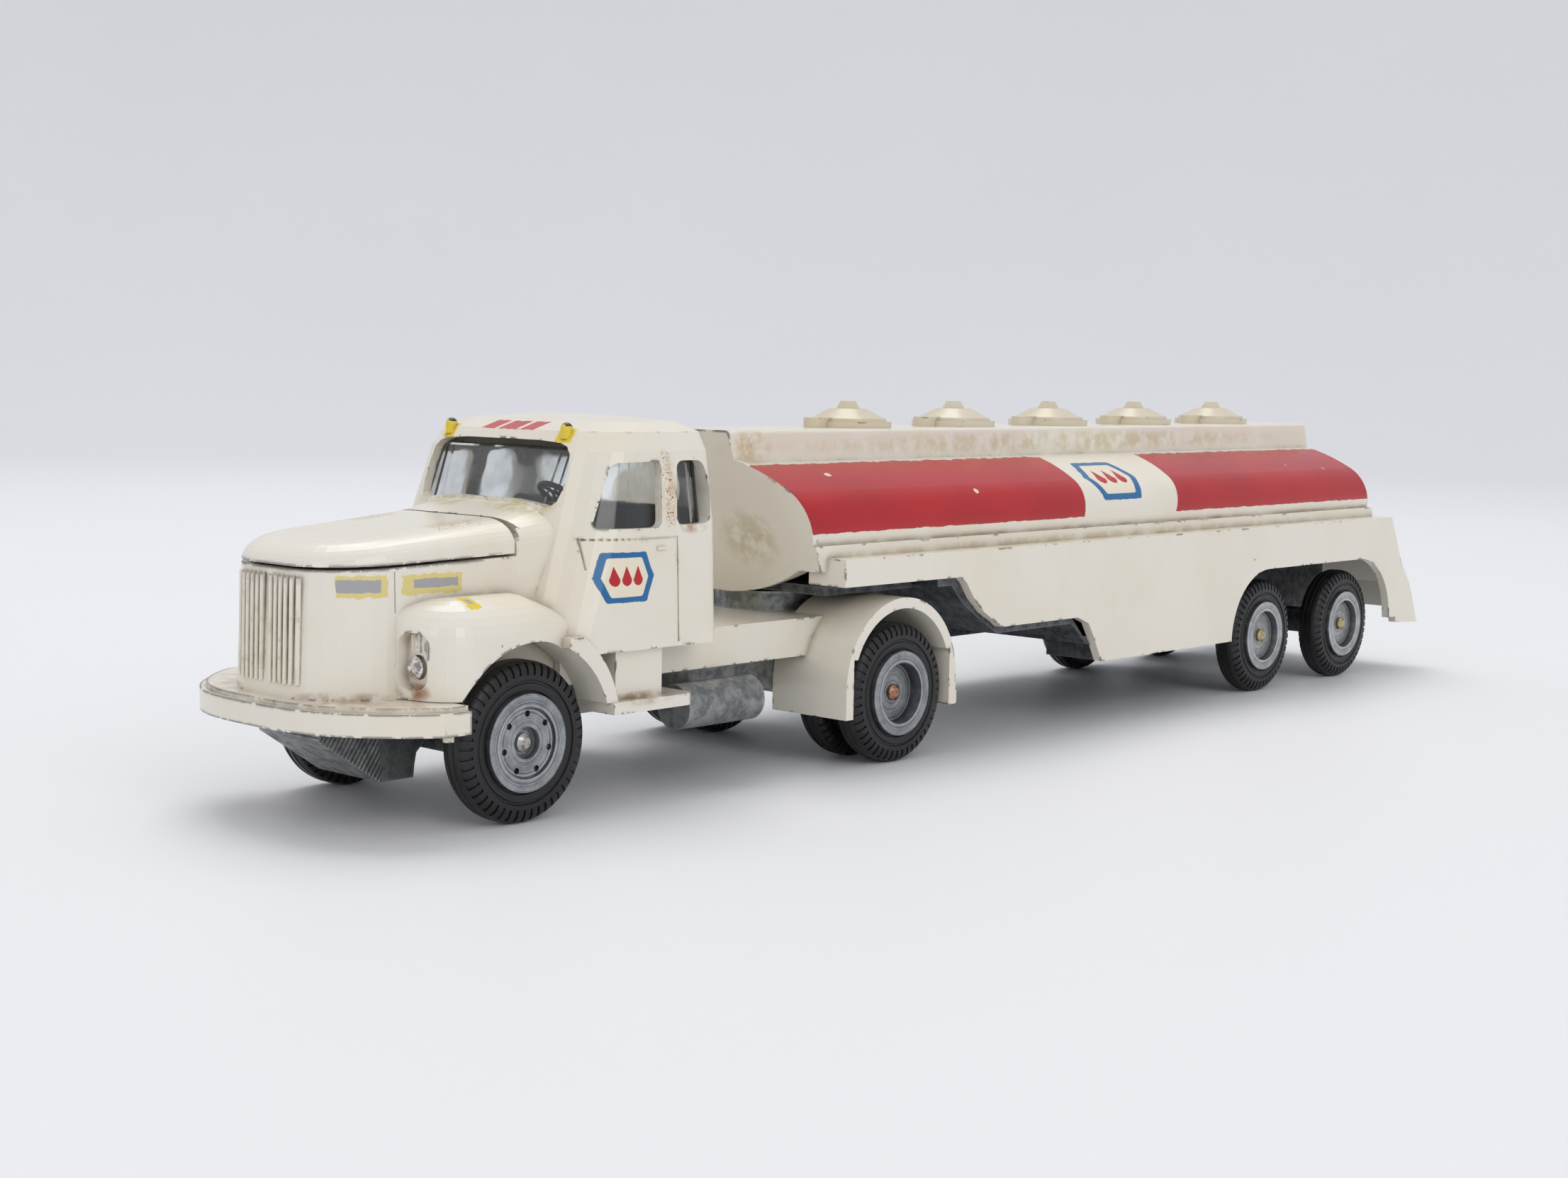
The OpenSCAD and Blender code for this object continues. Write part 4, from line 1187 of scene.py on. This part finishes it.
class Tractor:
    """The tractor unit: cab, bonnet, frame, base, interior and engine."""

    @staticmethod
    def cab_paint() -> Paint:
        """Gives the cab's enamel with its badges, worn side stripes, lamps and rust."""
        x = Axle.FRONT.value[0]
        yellow = srgb(232, 204, 60)
        pale_yellow = srgb(226, 210, 138)
        silver = srgb(168, 168, 170)
        seam = srgb(150, 146, 134)
        red = srgb(196, 44, 40)
        rust = srgb(150, 92, 34)
        return Paint(
            "cab_enamel",
            chips=0.34,
            flecks=0.035,
            grime_and_shade=0.75,
            markings=(
                Patch(
                    pale_yellow, (x + 16.4, 10, 29.6), (x + 23.2, 13.9, 32.3), 0.25, outside=True
                ),
                Patch(silver, (x + 17.2, 10, 30.2), (x + 22.4, 13.9, 31.8), 0.12, outside=True),
                Patch(pale_yellow, (x + 5.2, 10, 29.7), (x + 14.4, 14.6, 32.2), 0.3, outside=True),
                Patch(silver, (x + 5.8, 10, 30.5), (x + 12.6, 14.8, 31.6), 0.12, outside=True),
                Patch(seam, (x + 15.35, 11, 27.6), (x + 15.5, 14, 32.7), 0.02, outside=True),
                Patch(yellow, (x + 6.7, 16.6, 28), (x + 8.7, 19.6, 29.6), 0.2),
                Patch(silver, (x + 7.2, 17.3, 28), (x + 8.2, 18.7, 29.8), 0.2),
                Patch(yellow, (x - 14.9, 10.6, 48.2), (x - 12.4, 13.3, 50.9), 0.18),
                Patch(srgb(52, 50, 48), (x - 15.2, 11.2, 50.35), (x - 13.2, 12.9, 51.5), 0.12),
                Patch(red, (x - 17.4, -1, 49.65), (x - 12.8, 1.8, 50.7), 0.06),
                Patch(red, (x - 17.4, 2.6, 49.65), (x - 12.8, 5.4, 50.7), 0.06),
                Patch(rust, (x - 25.1, 18, 37.2), (x - 23.6, 21.6, 46.8), 0.5, 0.35),
                Stain((x - 24.3, 19.8, 41.5), (2.6, 3, 7), srgb(196, 150, 80), 0.5),
                Stain((x - 28.5, 20.8, 37.0), (3.2, 2, 1.2), rust, 0.7),
                Stain((x - 9.0, 8.0, 39.8), (4, 9, 1.6), srgb(190, 176, 120), 0.6),
                Stain((x + 14.6, 16, 18.0), (2.4, 3.4, 1.4), rust, 0.9),
                Stain((x + 20.0, 9, 17.2), (7, 7, 1.1), srgb(146, 108, 66), 0.7),
                Badge((x - 16.0, 21.5, 30.8), (0.0, 1.0), 4.85, 3.3, 17.0),
            ),
            worn=(
                Worn((x + 2, 0, 31.2), (x + 27, 16, 33.8), 0.55),
                Worn((x - 5, 0, 50), (x - 40, 25, 54), 0.2),
            ),
        )

    def dress(self, shop: Paintshop) -> None:
        """Dresses the tractor's CAD nodes.

        Args:
            shop: The paintshop.
        """
        x = Axle.FRONT.value[0]
        shop.dress(self.cab_paint(), "cab_shell")
        lid = Paint(
            "lid_enamel",
            chips=0.42,
            flecks=0.015,
            grime_and_shade=0.4,
            markings=(
                Patch(srgb(176, 138, 74), (x - 0.9, 6.4, 35.4), (x + 6.6, 10.8, 38.6), 0.5, 0.28),
                Stain((x + 2.6, 8.4, 37.0), (5, 3.4, 2.4), srgb(206, 184, 132), 0.55),
            ),
            worn=(Worn((x + 4, 0, 32.0), (x + 27, 16, 34.6), 0.5),),
        )
        shop.dress(lid, "bonnet_lid")
        frame_paint = Paint(
            "frame_enamel",
            chips=0.28,
            flecks=0.03,
            grime_and_shade=0.8,
            markings=(
                Stain((x - 19, 20, 14.4), (8, 4, 1.2), srgb(150, 120, 72), 0.75),
                Stain((x + 20, 8, 16.9), (9, 16, 0.7), srgb(170, 140, 96), 0.55),
            ),
            worn=(Worn((x + 10, 0, 13), (x + 29, 25, 18), 0.62),),
        )
        shop.dress(frame_paint, "chassis_frame")
        zinc = CastMetal("bare_zinc_skin", srgb(152, 155, 154), srgb(112, 116, 118), ribs=True)
        shop.dress(zinc, "tractor_base", "fifth_wheel_plate")
        shop.dress(ClearPlastic("glazing_clear", (0.88, 0.9, 0.9)), "cab_glazing")
        interior = Plastic("interior_grey", srgb(84, 82, 80), 0.55)
        shop.dress(interior, "seat_unit", "dashboard", "steering_column")
        shop.dress(Plastic("wheel_black", srgb(28, 28, 29), 0.4), "steering_wheel")
        engine = Plastic("engine_silver_skin", srgb(176, 178, 180), 0.38, 0.35)
        shop.dress(engine, "engine_block", "cooling_fan")
        shop.dress(STEEL, "bonnet_hinge_pin", "base_rivets", "front_axle_pin")
        shop.dress(PinMetal("copper_wire", srgb(168, 126, 104)), "rear_axle_pin")
        for side in Side:
            Headlamp(side).build(shop)


@dataclass
class Trailer:
    """The tank trailer: shell, hatches, base and kingpin."""

    front: float = 50.9
    tail: float = -116.6
    lean: float = 0.33

    def dress(self, shop: Paintshop) -> None:
        """Dresses the trailer's CAD nodes.

        Args:
            shop: The paintshop.
        """
        bulkhead_tint = srgb(176, 160, 104)
        spot = srgb(228, 218, 196)
        tank = Paint(
            "tank_enamel",
            chips=0.3,
            flecks=0.02,
            grime_and_shade=0.6,
            markings=(
                Panel(self.front, -18.0, self.lean, -0.15),
                Panel(-46.2, self.tail, -0.25, self.lean),
                Badge((-29.8, 17.0, 41.0), (-0.69, 0.724), 7.6, 4.8, 8.5),
                Fleck((39.5, 13.4, 42.8), 0.62, spot),
                Fleck((9.7, 18.5, 39.8), 0.5, spot),
                Fleck((-92.0, 15.5, 41.6), 0.45, srgb(214, 120, 112)),
                Fleck((-104.0, 17.0, 40.9), 0.5, srgb(214, 120, 112)),
                # A darker, yellower tint over the lower front bulkhead.
                Stain((51.5, 8, 30), (3, 9, 9), bulkhead_tint, 0.7),
                Stain((50.5, 7, 47), (5, 8, 3.6), srgb(196, 170, 110), 0.7),
                Stain((-30, 8.4, 46.8), (90, 1.6, 2.4), srgb(204, 188, 142), 0.7),
                Stain((-20, 21, 31.3), (90, 4, 1.2), srgb(206, 194, 158), 0.6),
            ),
            worn=(
                Worn((46, 17, 22), (50, 26, 32), 0.3),
                Worn((44, 0, 47), (56, 10, 51), 0.3),
            ),
        )
        shop.dress(tank, "tank_shell")
        domes = Paint(
            "hatch_skin",
            tint=srgb(216, 206, 184),
            chips=0.05,
            flecks=0.0,
            grime_and_shade=0.7,
            metal=srgb(150, 132, 100),
        )
        shop.dress(domes, "hatch_domes")
        base = CastMetal("base_casting", srgb(96, 99, 103), srgb(62, 65, 69), 0.5, 0.08, 0.5)
        shop.dress(base, "trailer_base")
        shop.dress(STEEL, "trailer_rivets", "kingpin")
        brass = PinMetal("brass_wire", srgb(190, 174, 132))
        shop.dress(brass, "trailer_front_axle_pin", "trailer_rear_axle_pin")


@dataclass
class Wheels:
    """All the lorry's wheels, with a tyre built for each CAD tyre."""

    front_middle: float = 17.9
    drive_middle: float = 21.7
    twin_pitch: float = 7.4
    trailer_middle: float = 19.8

    def build(self, shop: Paintshop) -> None:
        """Builds the tyres and dresses the hubs.

        Args:
            shop: The paintshop.
        """
        for side in Side:
            label = side.name.lower()
            front = f"front_{label}"
            self.single(shop, front, front + "_wheel", Axle.FRONT, self.front_middle * side.value)
            body = f"rear_{label}_wheels"
            outer = self.drive_middle * side.value
            inner = (self.drive_middle - self.twin_pitch) * side.value
            Tyre(f"rear_{label}_outer_tyre", body, Axle.DRIVE, outer).build(shop)
            Tyre(f"rear_{label}_inner_tyre", body, Axle.DRIVE, inner).build(shop)
            shop.dress(self.metal(Axle.DRIVE), f"rear_{label}_hub")
            for axle, row in ((Axle.BOGIE_FRONT, "front"), (Axle.BOGIE_REAR, "rear")):
                stem = f"trailer_{row}_{label}"
                self.single(shop, stem, stem + "_wheel", axle, self.trailer_middle * side.value)

    def single(self, shop: Paintshop, stem: str, body: str, axle: Axle, middle: float) -> None:
        """Builds one tyre and dresses its hub.

        Args:
            shop: The paintshop.
            stem: The start of the wheel's node names.
            body: The body that it rides on.
            axle: Its axle.
            middle: The y of the tyre's middle.
        """
        Tyre(stem + "_tyre", body, axle, middle).build(shop)
        shop.dress(self.metal(axle), stem + "_hub")

    @staticmethod
    def metal(axle: Axle) -> TurnedMetal:
        """Gives the hubs' metal for an axle."""
        name = f"hub_{axle.name.lower()}"
        if axle in (Axle.FRONT, Axle.DRIVE):
            return TurnedMetal(name, axle, srgb(182, 185, 187), srgb(118, 122, 126), 0.42)
        return TurnedMetal(name, axle, srgb(206, 208, 208), srgb(140, 143, 146), 0.3)


# ---------- studio ----------


@dataclass
class Studio:
    """A pale floor that rises into a round backdrop, soft lights and the camera."""

    flat_radius: float = 1.0
    wall_radius: float = 1.7
    wall_height: float = 1.5
    wall_steps: int = 16
    azimuth: float = 132.397
    elevation: float = 5.717
    roll: float = 1.004
    lens: float = 50.02
    eye: Point = (284.5, 228.61, 58.14)

    def build(self) -> None:
        """Builds the floor, the lights and the camera."""
        self.build_camera()
        self.build_floor()
        self.build_lights()

    def build_floor(self) -> None:
        """Spins the floor and backdrop from one rounded profile."""
        shape = bmesh.new()
        bend = self.wall_radius - self.flat_radius
        outline = [(0.0, 0.0), (self.flat_radius, 0.0)]
        for step in range(1, self.wall_steps + 1):
            angle = math.pi / 2 * step / self.wall_steps
            reach = self.flat_radius + bend * math.sin(angle)
            outline.append((reach, bend * (1 - math.cos(angle))))
        outline.append((self.wall_radius, self.wall_height))
        points = [shape.verts.new((r, 0, z)) for r, z in outline]
        edges = [shape.edges.new(pair) for pair in zip(points, points[1:])]
        bmesh.ops.spin(
            shape,
            geom=points + edges,
            cent=(0, 0, 0),
            axis=(0, 0, 1),
            angle=math.tau,
            steps=96,
            use_merge=True,
        )
        bmesh.ops.remove_doubles(shape, verts=shape.verts, dist=1e-6)
        bmesh.ops.recalc_face_normals(shape, faces=shape.faces)
        if sum(face.normal.z for face in shape.faces) < 0:
            bmesh.ops.reverse_faces(shape, faces=shape.faces)
        mesh = bpy.data.meshes.new("studio_floor")
        shape.to_mesh(mesh)
        shape.free()
        mesh.polygons.foreach_set("use_smooth", [True] * len(mesh.polygons))
        material, graph, shader = open_material("studio_white")
        tone = graph.noise(read_place(graph).vector, 0.004, 2.0)
        colour = graph.mix(tone, srgb(236, 237, 240), srgb(240, 241, 244))
        graph.feed(shader.inputs["Base Color"], colour)
        shader.inputs["Roughness"].default_value = 0.5
        shader.inputs["Specular IOR Level"].default_value = 0.25
        mesh.materials.append(material)
        floor = bpy.data.objects.new("studio_floor", mesh)
        bpy.context.scene.collection.objects.link(floor)

    def build_lights(self) -> None:
        """Adds the soft overhead light, the side fills and the surrounding light."""
        self.area("overhead", (-0.2, -0.35, 1.15), (0.0, 0.0, 0.0), 0.8, 5.4)
        self.area("left_fill", (0.35, 1.25, 0.75), (0.0, 0.0, 0.03), 0.7, 3.2)
        self.area("front_fill", (1.3, 0.1, 0.6), (0.05, 0.0, 0.03), 0.4, 0.9)
        world = bpy.data.worlds.new("studio_world")
        world.use_nodes = True
        sky = world.node_tree.nodes["Background"]
        sky.inputs["Color"].default_value = (0.97, 0.98, 1.0, 1.0)
        sky.inputs["Strength"].default_value = 0.68
        bpy.context.scene.world = world

    @staticmethod
    def area(name: str, place: Point, target: Point, size: float, power: float) -> None:
        """Adds a square area light.

        Args:
            name: The light's name.
            place: Where it hangs, in metres.
            target: The point that it faces, in metres.
            size: The length of its sides, in metres.
            power: Its power, in watts.
        """
        data = bpy.data.lights.new(name, "AREA")
        data.shape = "SQUARE"
        data.size = size
        data.energy = power
        data.color = (1.0, 0.985, 0.96)
        light = bpy.data.objects.new(name, data)
        light.location = place
        light.rotation_euler = (Vector(target) - Vector(place)).to_track_quat("-Z", "Y").to_euler()
        bpy.context.scene.collection.objects.link(light)

    def build_camera(self) -> None:
        """Adds the camera and shows colours plainly."""
        turn, lift, tilt = (math.radians(a) for a in (self.azimuth, self.elevation, self.roll))
        level = Vector((math.sin(turn), -math.cos(turn), 0.0))
        back = level * math.cos(lift) + Vector((0, 0, math.sin(lift)))
        right = (-back).cross(Vector((0, 0, 1))).normalized()
        up = right.cross(-back)
        across = right * math.cos(tilt) + up * math.sin(tilt)
        upward = up * math.cos(tilt) - right * math.sin(tilt)
        data = bpy.data.cameras.new("studio_camera")
        data.lens = self.lens
        data.sensor_width = 36.0
        data.sensor_fit = "HORIZONTAL"
        data.clip_start = 0.01
        camera = bpy.data.objects.new("studio_camera", data)
        axes = Matrix((across, upward, back)).transposed().to_4x4()
        camera.matrix_world = Matrix.Translation(Vector(self.eye) * MM) @ axes
        bpy.context.scene.collection.objects.link(camera)
        bpy.context.scene.camera = camera
        bpy.context.scene.view_settings.view_transform = "Standard"


def main() -> None:
    """Builds the studio and the lorry's looks."""
    logging.basicConfig(level=logging.INFO, format="%(name)s: %(message)s")
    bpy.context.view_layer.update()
    Studio().build()
    shop = Paintshop()
    Tractor().dress(shop)
    Trailer().dress(shop)
    Wheels().build(shop)
    bpy.context.view_layer.update()


if __name__ == "__main__":
    main()
